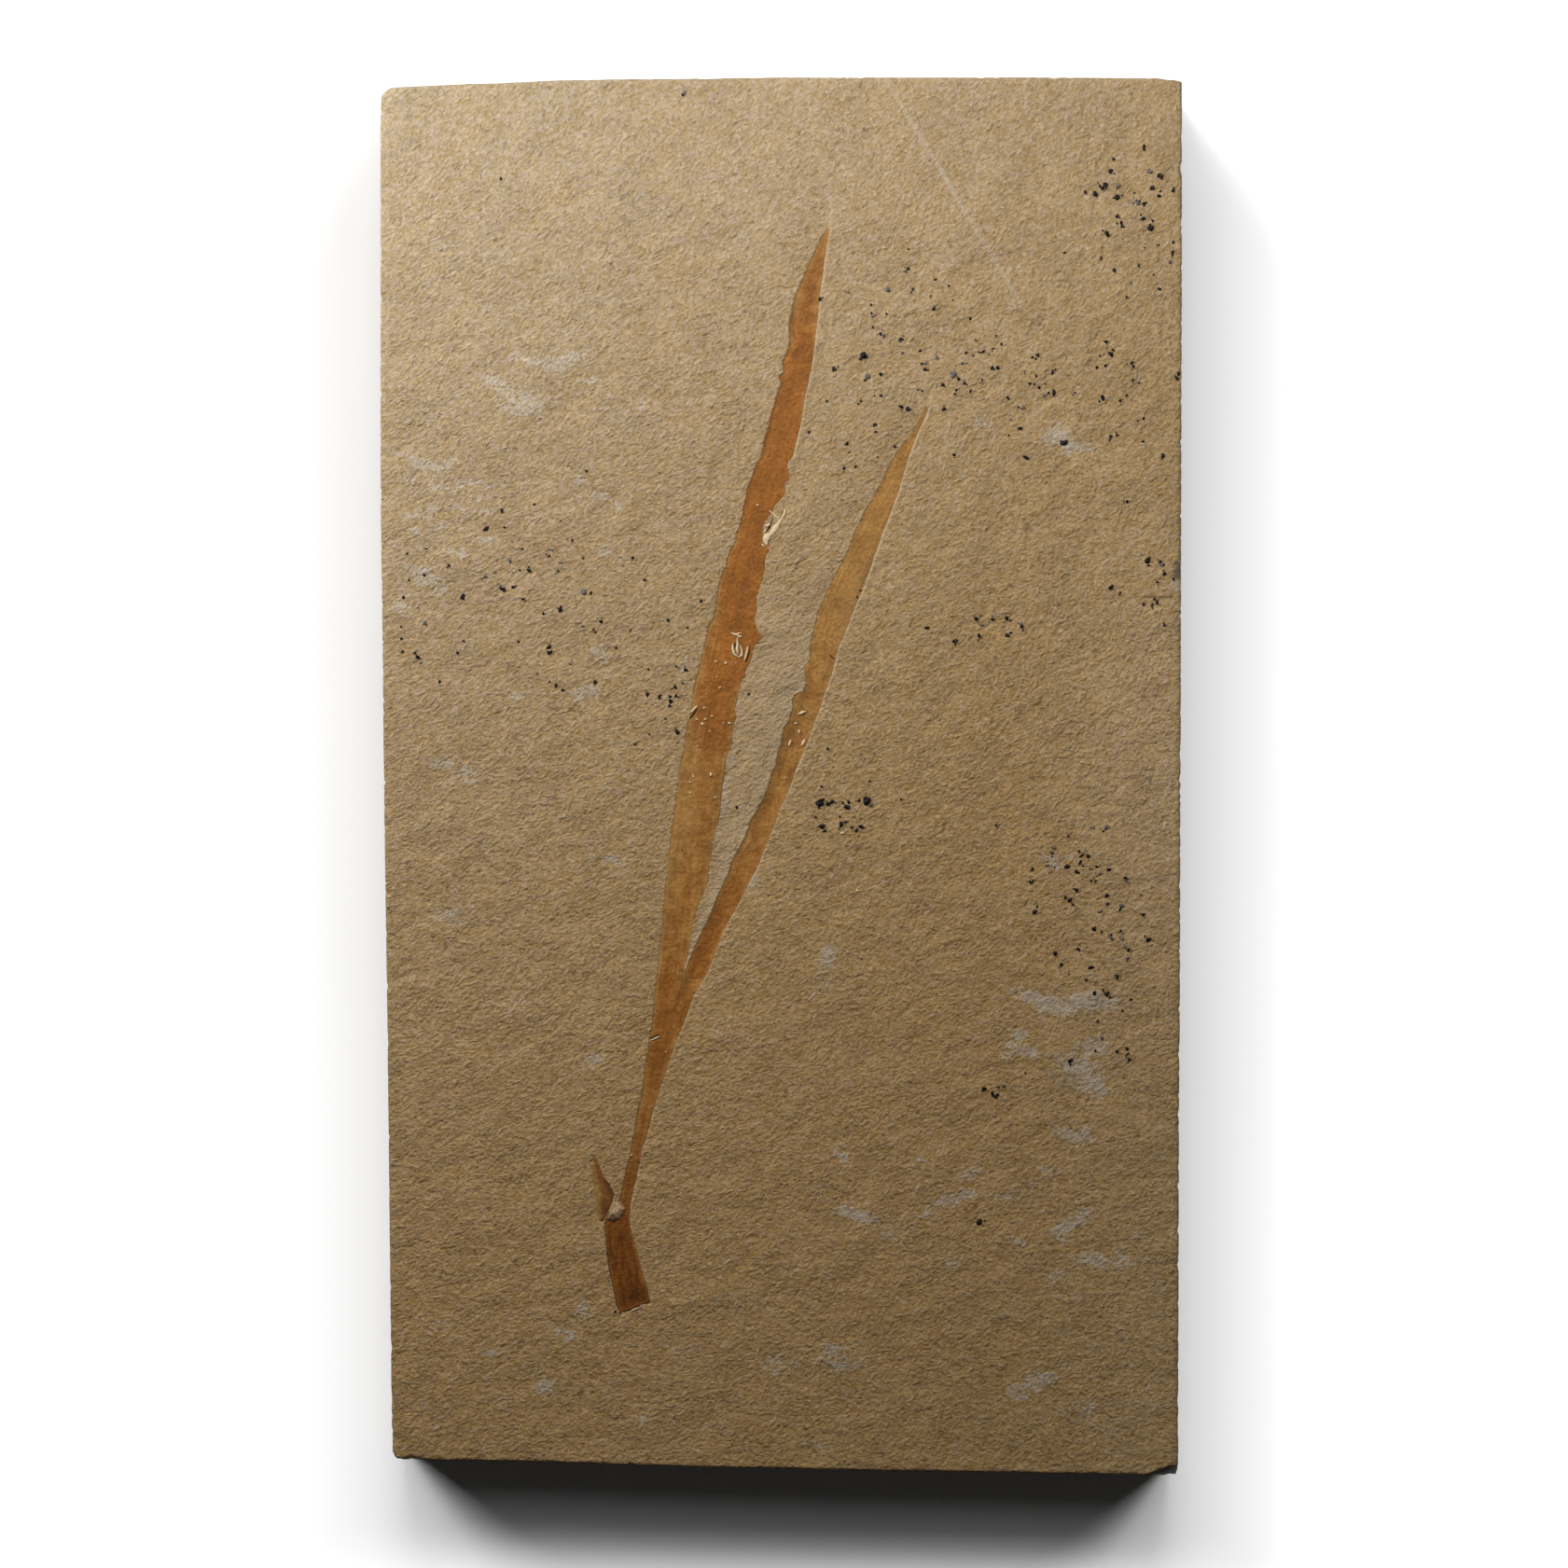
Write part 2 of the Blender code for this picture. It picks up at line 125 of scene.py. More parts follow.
# Height of the stone above the film at each margin, in millimetres, at heights down the photo.
WALL_LONG_LEFT = [(245, 0.10), (330, 0.26), (480, 0.28), (500, 0.18), (640, 0.12), (700, 0.05),
                  (800, 0.02), (1040, 0.02), (1100, 0.10), (1290, 0.12), (1310, 0.25), (1408, 0.30)]
WALL_LONG_RIGHT = [(245, 0.32), (360, 0.28), (430, 0.12), (480, 0.02), (505, -0.03), (900, -0.02),
                   (960, 0.02), (1045, 0.10)]
WALL_SHORT_LEFT = [(437, 0.03), (560, 0.04), (650, 0.06), (740, 0.10), (780, 0.20), (960, 0.22),
                   (1045, 0.18)]
WALL_SHORT_RIGHT = [(437, 0.34), (700, 0.32), (760, 0.24), (850, 0.20), (1000, 0.14), (1100, 0.12),
                    (1290, 0.14), (1310, 0.26), (1400, 0.34)]

# Colour of the film down the photo: 0 is orange brown, 1 golden; and its darkening.
GOLD_LONG = [(245, 0.4), (325, 0.4), (400, -0.1), (600, -0.15), (740, 0.0), (820, 0.45), (910, 0.55),
             (960, 0.35), (1000, 0.5), (1045, 0.3), (1120, 0.15), (1180, 0.3), (1230, 0.3), (1280, 0.0)]
GOLD_SHORT = [(440, 0.55), (525, 0.75), (615, 1.0), (660, 0.9), (705, 0.55), (760, 0.7), (850, 0.55),
              (930, 0.35), (1020, 0.15), (1120, 0.15), (1180, 0.3), (1230, 0.3), (1280, 0.0)]
DARK_ALONG = [(245, 0.14), (300, 0.18), (440, 0.17), (520, 0.04), (1080, 0.0), (1180, 0.0), (1240, 0.10),
              (1304, 0.30)]

# Soft ellipses on the face: x, y, half width and half height in pixels, strength, turn in degrees.
FILM_DARK = [(870, 312, 5, 9, 0.25, 20), (868, 338, 4, 7, 0.25, 10), (850, 342, 3, 10, 0.35, 5),
             (852, 380, 3, 5, 0.35, 0), (836, 440, 2, 22, 0.20, 14), (808, 600, 6, 70, 0.22, 13),
             (786, 720, 5, 60, 0.20, 13), (795, 640, 6, 50, 0.18, 12), (778, 790, 5, 40, 0.10, 10),
             (820, 520, 5, 40, 0.16, 16), (765, 870, 5, 60, 0.18, 9), (727, 1068, 3.0, 26, 0.30, 25),
             (717, 1110, 3.2, 26, 0.28, 16), (706, 1155, 3.4, 26, 0.30, 18), (702, 1196, 3, 34, 0.35, 14),
             (686, 1245, 8, 26, 0.25, 12), (840, 800, 9, 60, 0.22, 26), (800, 880, 8, 50, 0.22, 30),
             (765, 985, 6, 36, 0.16, 28), (855, 760, 5, 30, 0.15, 20), (926, 622, 3, 34, 0.35, 22),
             (890, 712, 4, 22, 0.3, 22), (866, 640, 12, 4, 0.12, 10), (918, 580, 12, 4, 0.15, -10),
             (870, 322, 9, 2.2, 0.15, -15), (868, 345, 8, 2, 0.15, -15), (745, 1035, 5, 22, 0.16, 24),
             (975, 490, 24, 44, 0.12, 28), (667, 1326, 4, 6, 0.5, 0), (655, 1345, 3, 20, 0.45, -8),
             (672, 1360, 2.5, 26, 0.35, -14), (681, 1389, 18, 8, 0.6, -20), (650.6, 1268, 3, 5, 0.8, -20),
             (655, 1276, 2.5, 5, 0.6, 0), (645, 1290, 2.2, 10, 0.4, 0), (651, 1296, 5, 9, 0.5, 20),
             (795, 696, 2, 7, 0.5, 5)]
FILM_PALE = [(925, 640, 16, 64, 0.45, 22), (742, 860, 22, 75, 0.14, 8), (800, 905, 6, 30, 0.15, 28),
             (825, 579, 7, 5, 0.4, -30), (791.5, 697, 1.4, 8, 0.5, 5), (880, 640, 2, 40, 0.12, 28),
             (930, 560, 1.5, 50, 0.15, 29), (950, 530, 1.2, 40, 0.14, 29), (700, 1105, 5, 1.0, 0.4, -20),
             (808, 945, 3, 8, 0.35, 25), (870, 655, 1.3, 30, 0.12, 25)]
PITS = [(790.5, 697, 4.2, 8, 0.16, 8), (743.5, 765.5, 5, 1.6, 0.15, -50), (892, 704, 4, 1.2, 0.12, 40),
        (702.5, 1111, 6, 1.3, 0.16, -20), (824, 563, 5, 2, 0.14, -35), (684.6, 1246.6, 1.6, 1.6, 0.15, 0),
        (717, 1108, 1.6, 40, 0.05, 17)]
# More soft ellipses, on the stone: chalky powder; darker marks, one of them painted shade beside the
# long lobe's right margin; and cream marks, mostly painted highlight on the stone that rises to the
# short lobe's left margin and at the fork.
CHALK = [(574, 388, 30, 4, 0.8, 12), (615, 383, 18, 6, 0.9, -8), (596, 394, 14, 5, 0.7, 0),
         (540, 415, 26, 7, 0.5, 25), (555, 436, 20, 11, 0.75, 10), (575, 430, 16, 9, 0.5, 0),
         (526, 406, 12, 5, 0.5, 30), (630, 408, 16, 4, 0.6, 0), (685, 436, 16, 5, 0.7, -15),
         (650, 436, 10, 5, 0.4, 0), (436, 490, 16, 4, 0.8, 20), (460, 500, 20, 5, 0.85, 5),
         (486, 495, 12, 5, 0.6, -30), (440, 515, 10, 4, 0.6, -20), (470, 522, 12, 4, 0.6, 10),
         (500, 518, 14, 5, 0.7, -10), (532, 522, 12, 5, 0.7, 0), (445, 552, 14, 5, 0.6, 0),
         (465, 546, 9, 5, 0.6, -20), (490, 545, 11, 5, 0.6, 10), (520, 547, 12, 5, 0.65, -10),
         (510, 533, 10, 5, 0.5, 0), (622, 518, 9, 5, 0.8, -50), (648, 531, 9, 4, 0.85, 20),
         (660, 542, 9, 4, 0.7, 40), (445, 568, 10, 4, 0.7, 30), (470, 565, 10, 4, 0.7, -30),
         (455, 585, 12, 5, 0.6, 0), (481, 590, 9, 5, 0.7, 20), (455, 615, 18, 9, 0.7, 20),
         (450, 626, 10, 6, 0.6, 0), (474, 631, 9, 5, 0.6, 0), (498, 592, 9, 4, 0.85, -60),
         (522, 579, 10, 4, 0.75, 0), (648, 592, 11, 6, 0.7, 0), (430, 650, 12, 8, 0.7, 0),
         (646, 703, 7, 10, 0.85, 15), (640, 697, 11, 4, 0.6, 0), (630, 738, 12, 5, 0.8, 0),
         (620, 747, 9, 5, 0.8, 20), (637, 745, 5, 8, 0.6, 0), (735, 714, 5, 24, 0.5, 5),
         (556, 746, 12, 5, 0.75, 0), (473, 817, 18, 6, 0.75, 5), (497, 827, 16, 6, 0.65, -20),
         (505, 838, 10, 5, 0.6, 0), (652, 845, 12, 4, 0.4, 20), (658, 923, 12, 5, 0.8, 20),
         (640, 902, 12, 4, 0.5, 0), (485, 980, 24, 10, 0.4, -10), (560, 1080, 20, 12, 0.35, 40),
         (635, 1136, 9, 8, 0.75, 0), (885, 1050, 9, 50, 0.38, 8), (888, 1022, 9, 12, 0.5, 20),
         (805, 947, 5, 9, 0.8, 20), (1056, 455, 10, 5, 0.8, 20), (1135, 464, 12, 8, 0.9, 30),
         (1145, 480, 16, 8, 0.75, 20), (1165, 478, 12, 6, 0.6, 0), (1120, 470, 8, 6, 0.6, 0),
         (1129, 925, 10, 8, 0.8, 30), (1146, 918, 10, 4, 0.5, 0), (1110, 1070, 30, 6, 0.75, 15),
         (1150, 1076, 34, 8, 0.75, -5), (1128, 1082, 22, 5, 0.55, 10), (1170, 1066, 18, 9, 0.5, 0),
         (1185, 1078, 12, 8, 0.6, 0), (1068, 1096, 10, 9, 0.45, 0), (1093, 1112, 12, 8, 0.65, -40),
         (1100, 1128, 16, 6, 0.65, 20), (1075, 1134, 12, 5, 0.55, -20), (1170, 1124, 16, 12, 0.75, 0),
         (1160, 1152, 20, 16, 0.8, 10), (1140, 1140, 14, 8, 0.5, 0), (1176, 1166, 10, 12, 0.7, 0),
         (1135, 1212, 16, 5, 0.6, 25), (1155, 1219, 18, 6, 0.85, 5), (1168, 1211, 12, 4, 0.6, -30),
         (904, 1240, 10, 5, 0.8, 50), (989, 1244, 12, 4, 0.6, 0), (1042, 1258, 16, 6, 0.65, -25),
         (1120, 1252, 14, 5, 0.65, -10), (908, 1300, 18, 6, 0.8, 15), (928, 1306, 18, 5, 0.8, 20),
         (952, 1326, 11, 4, 0.95, 10), (1018, 1286, 20, 6, 0.75, -15), (1038, 1278, 12, 5, 0.6, 0),
         (993, 1302, 10, 5, 0.65, -20), (1077, 1284, 9, 5, 0.7, 0), (1104, 1272, 14, 5, 0.6, -20),
         (1150, 1311, 18, 6, 0.8, -25), (1140, 1317, 14, 5, 0.7, -25), (1166, 1298, 10, 5, 0.5, -30),
         (1092, 1332, 12, 5, 0.8, 20), (1140, 1330, 10, 5, 0.6, 20), (1173, 1350, 18, 9, 0.7, 10),
         (1203, 1350, 10, 12, 0.6, 0), (1130, 1365, 12, 7, 0.6, 0), (1021, 1355, 10, 5, 0.6, 0),
         (1216, 1322, 12, 6, 0.45, 0), (625, 1403, 12, 9, 0.8, -40), (610, 1432, 13, 5, 0.8, 20),
         (585, 1486, 10, 8, 0.85, -40), (566, 1468, 10, 5, 0.5, 40), (525, 1450, 10, 4, 0.7, 10),
         (735, 1447, 14, 4, 0.5, -10), (830, 1460, 28, 12, 0.5, -5), (893, 1444, 14, 7, 0.7, 20),
         (900, 1462, 24, 12, 0.55, 0), (1105, 1484, 30, 8, 0.5, -20), (1120, 1478, 16, 6, 0.7, 0),
         (1092, 1496, 14, 6, 0.6, 0), (1160, 1510, 26, 12, 0.5, 0), (880, 1551, 9, 4, 0.8, 0),
         (685, 1520, 14, 7, 0.5, 0), (465, 1520, 16, 5, 0.4, 0), (470, 1420, 20, 8, 0.35, 0)]
DUSK = [(1263, 600, 4, 200, 0.25, 0), (547, 1126, 5, 3, 0.8, 0), (540, 1123, 6, 1.6, 0.6, 20),
        (737, 98, 5, 2.5, 0.9, -30), (717, 137, 4, 2, 0.8, -30), (697, 174, 4, 2, 0.8, -30),
        (540, 193, 4, 2, 0.8, -20), (671, 236, 4, 2, 0.8, -30), (862, 470, 6, 30, 0.4, 14)]
CREAM = [(808, 945, 6, 9, 0.7, 25), (743, 1015, 5, 24, 0.7, 20),
         (772, 944, 4, 9, 0.9, 30), (842, 735, 14, 30, 0.35, 20)]
# Parts of the scratch: centre, half length in pixels, turn in degrees, strength.
SCRATCHES = [(988, 149, 68, -58.6, 0.6), (1012, 188, 18, -58.6, 0.9), (1046, 246, 50, -58.6, 0.6),
             (1084, 308, 26, -58.6, 0.55), (1018, 271, 12, -58, 0.5)]
# Fields of mineral grains, as judged: x, y, half width and half height in pixels, how many
# grains, and their usual radius in pixels.
GRAIN_FIELDS = [(1213, 205, 46, 52, 36, 2.5), (1235, 282, 30, 34, 12, 2.3), (970, 315, 70, 36, 16, 2.5),
                (1005, 395, 95, 46, 34, 2.2), (1100, 420, 70, 52, 24, 2.4), (1215, 410, 55, 70, 18, 2.7),
                (925, 450, 34, 44, 14, 2.3), (585, 590, 150, 60, 34, 2.0), (600, 700, 150, 60, 36, 2.0),
                (700, 755, 60, 40, 14, 2.1), (1060, 668, 50, 24, 11, 2.4), (1240, 640, 24, 60, 14, 2.6),
                (905, 862, 40, 34, 18, 3.0), (1165, 935, 62, 40, 28, 2.3), (1180, 990, 60, 34, 20, 2.8),
                (1165, 1050, 34, 20, 9, 2.6), (1195, 1115, 36, 34, 9, 2.6), (1075, 1160, 20, 22, 6, 2.4)]
# Grains that stand alone or are larger than their neighbours: x, y and radius in pixels.
SINGLE_GRAINS = [(734, 100, 3.5), (537, 192, 2.4), (626, 635, 4.5), (909, 865, 4.5), (1141, 475, 4.5),
                 (1261, 405, 4.2), (1190, 630, 3.0), (1050, 1310, 3.8)]
# Dark specks on the film and pale grains on it: x, y and radius in pixels.
FILM_SPECKS = [(790, 865.6, 2.2), (880.8, 842.9, 1.6), (922, 633, 1.8), (919, 640, 1.6), (651, 1343, 1.2),
               (653, 1373, 1.2), (659.5, 1406, 1.4)]
PALE_GRAINS = [(777.8, 710.7, 1.7), (767.6, 709, 1.4), (772, 737, 1.7), (768.6, 726, 1.1), (755, 759, 1.7),
               (763.5, 768, 1.7), (756, 771, 1.5), (747, 771, 1.3), (753.3, 776, 1.7), (781.8, 775.4, 1.8),
               (762, 830.5, 2.8), (743.3, 832.5, 1.6), (739.5, 838.6, 1.3), (740, 849.8, 1.5),
               (766.5, 855.5, 1.6), (853.3, 775.5, 1.6), (757, 744, 1.1), (775.5, 775, 1.2),
               (842, 834, 1.4), (812, 541.4, 1.7), (789, 711, 1.1), (761, 784, 1.0), (748, 800, 1.1),
               (714, 1128, 1.1), (676.5, 1238.5, 1.4), (903, 893, 2.6), (920, 955, 2.2)]
# Thin pale slivers torn from the leaf: x, y and half width in pixels along each.
TEARS = [[(824.3, 546.8, 0.7), (831.6, 553.7, 0.8), (836, 556, 0.9)],
         [(842, 545, 0.7), (840.8, 551, 0.9), (838.5, 556, 1.2)],
         [(839, 555, 1.0), (835, 561, 2.0), (831, 567, 3.2), (827, 572, 2.6), (823, 576, 1.5)],
         [(827, 571, 2.0), (822.5, 575.5, 3.8), (821, 580, 3.4), (822, 585, 1.2)],
         [(820, 563, 0.8), (823, 563.5, 1.4), (826, 561, 0.8)], [(821, 567, 0.7), (819.5, 571, 0.8)],
         [(816.5, 583, 0.6), (819.5, 586.5, 0.8)],
         [(783.5, 678.5, 0.6), (789, 680.5, 1.2), (794.5, 678.5, 0.8)],
         [(789, 680.5, 0.9), (793.5, 683, 1.1), (795, 681, 0.5)],
         [(790.3, 683.5, 0.7), (790.6, 691, 1.1), (790.2, 697, 1.5), (791, 702, 0.9)],
         [(785.5, 689, 0.4), (785.6, 696, 1.3), (787, 701, 1.2), (791, 704, 0.9)],
         [(793.5, 691, 0.7), (795.3, 698, 0.9), (795, 703, 1.1), (791, 704.5, 0.8)],
         [(801.8, 692.5, 0.7), (800.5, 700, 0.9), (798.2, 708.5, 0.8)],
         [(740.5, 764.5, 0.8), (744, 760, 1.1), (748, 756.5, 0.6)],
         [(855.5, 766, 0.9), (860, 764, 1.5), (864, 762.5, 0.8)], [(856.5, 782, 0.8), (857, 787, 1.0)],
         [(848, 793, 0.9), (845.5, 800, 1.0)], [(859, 800, 0.8), (861.5, 796, 1.5), (863, 792, 0.6)],
         [(697.5, 1115.5, 0.6), (703, 1113, 0.7), (707.5, 1111, 0.5)],
         [(674, 1406.6, 0.3), (680, 1404, 0.4), (690, 1399.6, 0.3)]]
# Fine dark cracks, given in the same way.
CRACKS = [[(829, 555, 0.8), (826.5, 561, 0.9), (824.5, 566, 1.2), (820, 571, 0.8)],
          [(788, 688, 0.8), (788.2, 693, 1.0), (788.4, 697.5, 0.7)],
          [(804.5, 692.5, 0.6), (803, 700, 0.7), (800.5, 708, 0.9), (798.8, 710, 1.0)],
          [(808.5, 690, 0.5), (815, 689, 0.6), (824, 687, 0.5)],
          [(739, 771, 0.9), (743, 766, 1.2), (748, 759.5, 0.8)],
          [(888.6, 701, 0.5), (892, 704.5, 0.7), (895, 707, 0.5)],
          [(696.8, 1113.4, 0.8), (702, 1111.2, 0.9), (707.7, 1109, 0.6)],
          [(683.6, 1246.8, 0.8), (685.8, 1246.3, 0.9)], [(675.5, 1241.8, 0.8), (677.6, 1240.4, 0.8)]]
# Upper end of the stem's left margin, under the lump.
STEM_TOP_LEFT = [(662, 1296), (652, 1302)]


def along(points):
    """The first value of each pair as a function of the second, straight between the points."""
    table = np.array(points, float)
    return lambda y: np.interp(y, table[:, 1], table[:, 0])


def value_at(points):
    """The second value of each pair as a function of the first, straight between the points."""
    table = np.array(points, float)
    return lambda x: np.interp(x, table[:, 0], table[:, 1])


def fade(t):
    """0 below 0, 1 above 1, and the smooth cubic 3t^2 - 2t^3 between them."""
    t = np.clip(t, 0.0, 1.0)
    return t * t * (3 - 2 * t)


def metres(x, y, z):
    """Photo pixels and a height to metres: x to the right, y down the photo, z as given."""
    x, y, z = np.broadcast_arrays(x, y, z)
    return np.stack([(x - MIDDLE[0]) * PIXEL, (MIDDLE[1] - y) * PIXEL, z], -1)


def noise(x, y, cell, seed):
    """Gradient noise about -1 to 1: every corner of a square lattice has a random direction, and a
    point blends the four ramps of its corners with the curve 6t^5 - 15t^4 + 10t^3."""
    rng = np.random.default_rng(seed)
    order = rng.permutation(512)
    angle = rng.uniform(0, 2 * np.pi, 512)
    turn = rng.uniform(0.3, 1.2)
    gx = (x * np.cos(turn) - y * np.sin(turn)) / cell + 311.7
    gy = (x * np.sin(turn) + y * np.cos(turn)) / cell + 173.3
    ix, iy = np.floor(gx).astype(int), np.floor(gy).astype(int)
    fx, fy = gx - ix, gy - iy

    def ramp(dx, dy):
        a = angle[(order[(ix + dx) % 512] + iy + dy) % 512]
        return np.cos(a) * (fx - dx) + np.sin(a) * (fy - dy)

    u = fx**3 * (fx * (fx * 6 - 15) + 10)
    v = fy**3 * (fy * (fy * 6 - 15) + 10)
    low = ramp(0, 0) * (1 - u) + ramp(1, 0) * u
    high = ramp(0, 1) * (1 - u) + ramp(1, 1) * u
    return 1.4 * (low * (1 - v) + high * v)


def spots(x, y, places):
    """Sum of soft ellipses, each given as x, y, half width, half height, strength, turn in degrees:
    strength times exp(-(u^2 + v^2)) with u and v in the ellipse's own turned axes."""
    total = np.zeros(np.broadcast(x, y).shape)
    for cx, cy, rx, ry, strength, turn in places:
        a = np.radians(turn)
        u = ((x - cx) * np.cos(a) + (y - cy) * np.sin(a)) / rx
        v = ((y - cy) * np.cos(a) - (x - cx) * np.sin(a)) / ry
        total += strength * np.exp(-(u * u + v * v))
    return total


# Shapes of the face
long_left = along([(884, 80), (885, 200), (887.2, 236)] + LONG_LEFT
                  + [(660, 1292), (652, 1301)] + STEM_LEFT + [(640, 1450), (600, 1600)])
short_right = along([(1016, 80), (1008, 400), (1000, 428)] + SHORT_RIGHT[:-1]
                    + STEM_RIGHT + [(712, 1450), (760, 1600)])
apart_left = along([(900, 80), (893, 200), (889.6, 236)] + LONG_RIGHT)
apart_right = along([(1000, 80), (1000, 400), (998, 428)] + SHORT_LEFT)


def ragged(y, seed, share):
    """Small ins and outs of a margin in pixels: noise of two lengths, scaled by a share of the height
    down the photo."""
    return share(y) * (0.9 * noise(y, 0 * y, 8, seed) + 0.6 * noise(y, 0 * y, 3.6, seed + 1))


def margins(y):
    """The four margins at a height down the photo: long lobe left and right, short lobe left and
    right, each drawn in a little from the line where the stone's edge shows. Below the fork the inner
    two part again to a third and two thirds of the stalk's width."""
    by_tip, by_short_tip = fade((y - 250) / 40), fade((y - 440) / 40)
    a = long_left(y) + by_tip * 0.7 + ragged(y, 71, ragged_long_left)
    d = short_right(y) - by_short_tip * 1.2 + ragged(y, 77, ragged_short_right)
    spread = 0.33 * fade((y - FORK) / 22)
    middle = 0.5 * (apart_left(y) + apart_right(y))
    middle = middle + (0.5 * (a + d) - middle) * fade((y - FORK) / 22)
    by_fork = 1 - fade((y - 1005) / 40)
    long_right = apart_left(y) - by_tip * by_fork * 0.6 + ragged(y, 73, ragged_long_right)
    short_left = apart_right(y) + by_short_tip * by_fork * 0.6 + ragged(y, 75, ragged_short_left)
    b = np.where(y > FORK, middle - spread * 0.5 * (d - a), long_right)
    c = np.where(y > FORK, middle + spread * 0.5 * (d - a), short_left)
    return a, b, c, d


ragged_long_left = value_at([(250, 0), (300, 1.1), (640, 1.2), (760, 0.35), (1290, 0.3)])
ragged_long_right = value_at([(250, 0), (300, 0.2), (490, 0.3), (510, 1.1), (800, 1.0), (900, 0.6),
                              (1040, 0)])
ragged_short_left = value_at([(445, 0), (480, 0.3), (600, 0.4), (660, 1.1), (900, 1.1), (980, 0.4),
                              (1040, 0)])
ragged_short_right = value_at([(445, 0), (500, 0.2), (1290, 0.3)])
wall_long_left = value_at(WALL_LONG_LEFT)
wall_long_right = value_at(WALL_LONG_RIGHT)
wall_short_left = value_at(WALL_SHORT_LEFT)
wall_short_right = value_at(WALL_SHORT_RIGHT)
long_right_run = value_at([(440, 2.4), (490, 0.9), (900, 0.9), (1000, 2.0)])
stem_foot = value_at([(666.8, 1408.7), (671.7, 1406), (680, 1403), (688.6, 1399.6), (697, 1396)])
side_leaf_left = along(SIDE_LEAF_LEFT)
side_leaf_right = along(SIDE_LEAF_RIGHT)


def film_height(x, y):
    """Level of the leaf's film: two slow swells of noise about its mean height."""
    return FILM + MM * (0.05 * noise(x, y, 230, 21) + 0.03 * noise(x, y, 70, 22))


def broad(x, y):
    """Slow relief of the split face: three sizes of noise about its mean height."""
    return FACE + MM * (0.16 * noise(x, y, 380, 11) + 0.10 * noise(x, y, 150, 12)
                          + 0.15 * noise(x, y, 58, 13))


def combed(x, y):
    """Places for the stone's grain, sheared so that it runs up to the right: x shortened, and y plus
    a slope times x, the slope growing towards the top and the left of the photo."""
    x, up = x - MIDDLE[0], MIDDLE[1] - y
    return 0.9 * x, y + (0.33 + 2.2e-4 * up - 1.0e-4 * x) * x


def grain(x, y):
    """Rough relief of the split face, 2 to 6 mm across. The middle size is folded at zero, so it
    makes sharp little crests."""
    x, y = combed(x, y)
    folded = 0.5 - np.abs(noise(x, y, 17, 15))
    return MM * (0.20 * noise(x, y, 26, 14) + 0.20 * folded + 0.12 * noise(x, y, 8.5, 16))


def overlap(run, wall):
    """How far past its margin the film runs, in pixels: to where the stone's edge, which falls over
    the given run from the wall's height to the bed, meets the film, and a little further."""
    wall = np.maximum(wall, 0)
    return run - (run + 0.15) * wall / (wall + BED) + 0.2


def inside_film(x, y):
    """True where the leaf or the stem covers the stone."""
    a, b, c, d = margins(y)
    lobes = ((y >= LONG_TIP) & (x > a) & (x < b)) | ((y >= SHORT_TIP) & (x > c) & (x < d))
    stalk = (y >= FORK) & (x > a) & (x < d)
    return (lobes | stalk) & (y < stem_foot(x))


def inside_side_leaf(x, y):
    """1 well inside the side leaf and 0 outside, with a soft edge 3 px wide."""
    depth = np.minimum(x - side_leaf_left(y), side_leaf_right(y) - x)
    depth = np.minimum(depth, np.minimum(y - SIDE_LEAF_TIP, SIDE_LEAF_FOOT - y))
    return fade((depth + 1.5) / 3)


def surface(x, y):
    """Height of the stone in metres. Far from the leaf it is the broad relief with the grain. Towards
    each margin it bends to the film's level plus the wall given there, and under the film it is a
    flat bed."""
    a, b, c, d = margins(y)
    below = 1 - fade((y - 1402) / 30)
    by_long, by_short = fade((y - 215) / 34) * below, fade((y - 405) / 34) * below
    reach_left = 34 + 16 * fade((y - 380) / 60) * (1 - fade((y - 700) / 100))
    w_a = by_long * (1 - fade((a - x) / reach_left)) * (x <= a)
    w_b = by_long * (1 - fade((x - b) / 30)) * (x >= b) * (x <= c)
    w_c = by_short * (1 - fade((c - x) / 30)) * (x >= b) * (x <= c)
    w_d = by_short * (1 - fade((x - d) / 34)) * (x >= d)
    total = w_a + w_b + w_c + w_d
    share = np.maximum(total, 1)
    wall = (w_a * wall_long_left(y) + w_b * wall_long_right(y)
            + w_c * wall_short_left(y) + w_d * wall_short_right(y)) / np.maximum(total, 1e-9)
    total = total / share
    across = (x - b) / np.maximum(c - b, 1)
    valley = np.exp(-((across - 0.36) / 0.26) ** 2) * fade((y - 700) / 80) * (1 - fade((y - 1000) / 45))
    valley = valley * (x > b) * (x < c)
    height = broad(x, y) * (1 - total) + (film_height(x, y) + MM * wall) * total
    height = height + grain(x, y) * (1 - 0.5 * total - 0.33 * total**8) - 1.0e-4 * valley
    under = film_height(x, y) - MM * BED
    side = inside_side_leaf(x, y)
    height = height * (1 - side) + (film_height(x, y) - 1.5e-4) * side
    return np.where(inside_film(x, y), under, height)


# Meshes
def mesh_piece(name, points, faces, material, smooth=True, **values):
    """A mesh object riding on the plate's body, from points in metres and faces of any length.
    Each further argument is one number for every point, kept as a named attribute."""
    mesh = bpy.data.meshes.new(name)
    mesh.from_pydata(points.tolist(), [], [f if isinstance(f, list) else f.tolist() for f in faces])
    mesh.polygons.foreach_set("use_smooth", [smooth] * len(mesh.polygons))
    for label, numbers in values.items():
        kind = "FLOAT" if np.ndim(numbers) == 1 else "FLOAT_VECTOR"
        store = mesh.attributes.new(label, kind, "POINT")
        store.data.foreach_set("value" if kind == "FLOAT" else "vector",
                               np.asarray(numbers, np.float32).ravel())
    mesh.materials.append(material)
    piece = bpy.data.objects.new(name, mesh)
    bpy.context.scene.collection.objects.link(piece)
    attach(piece, "root")
    return piece


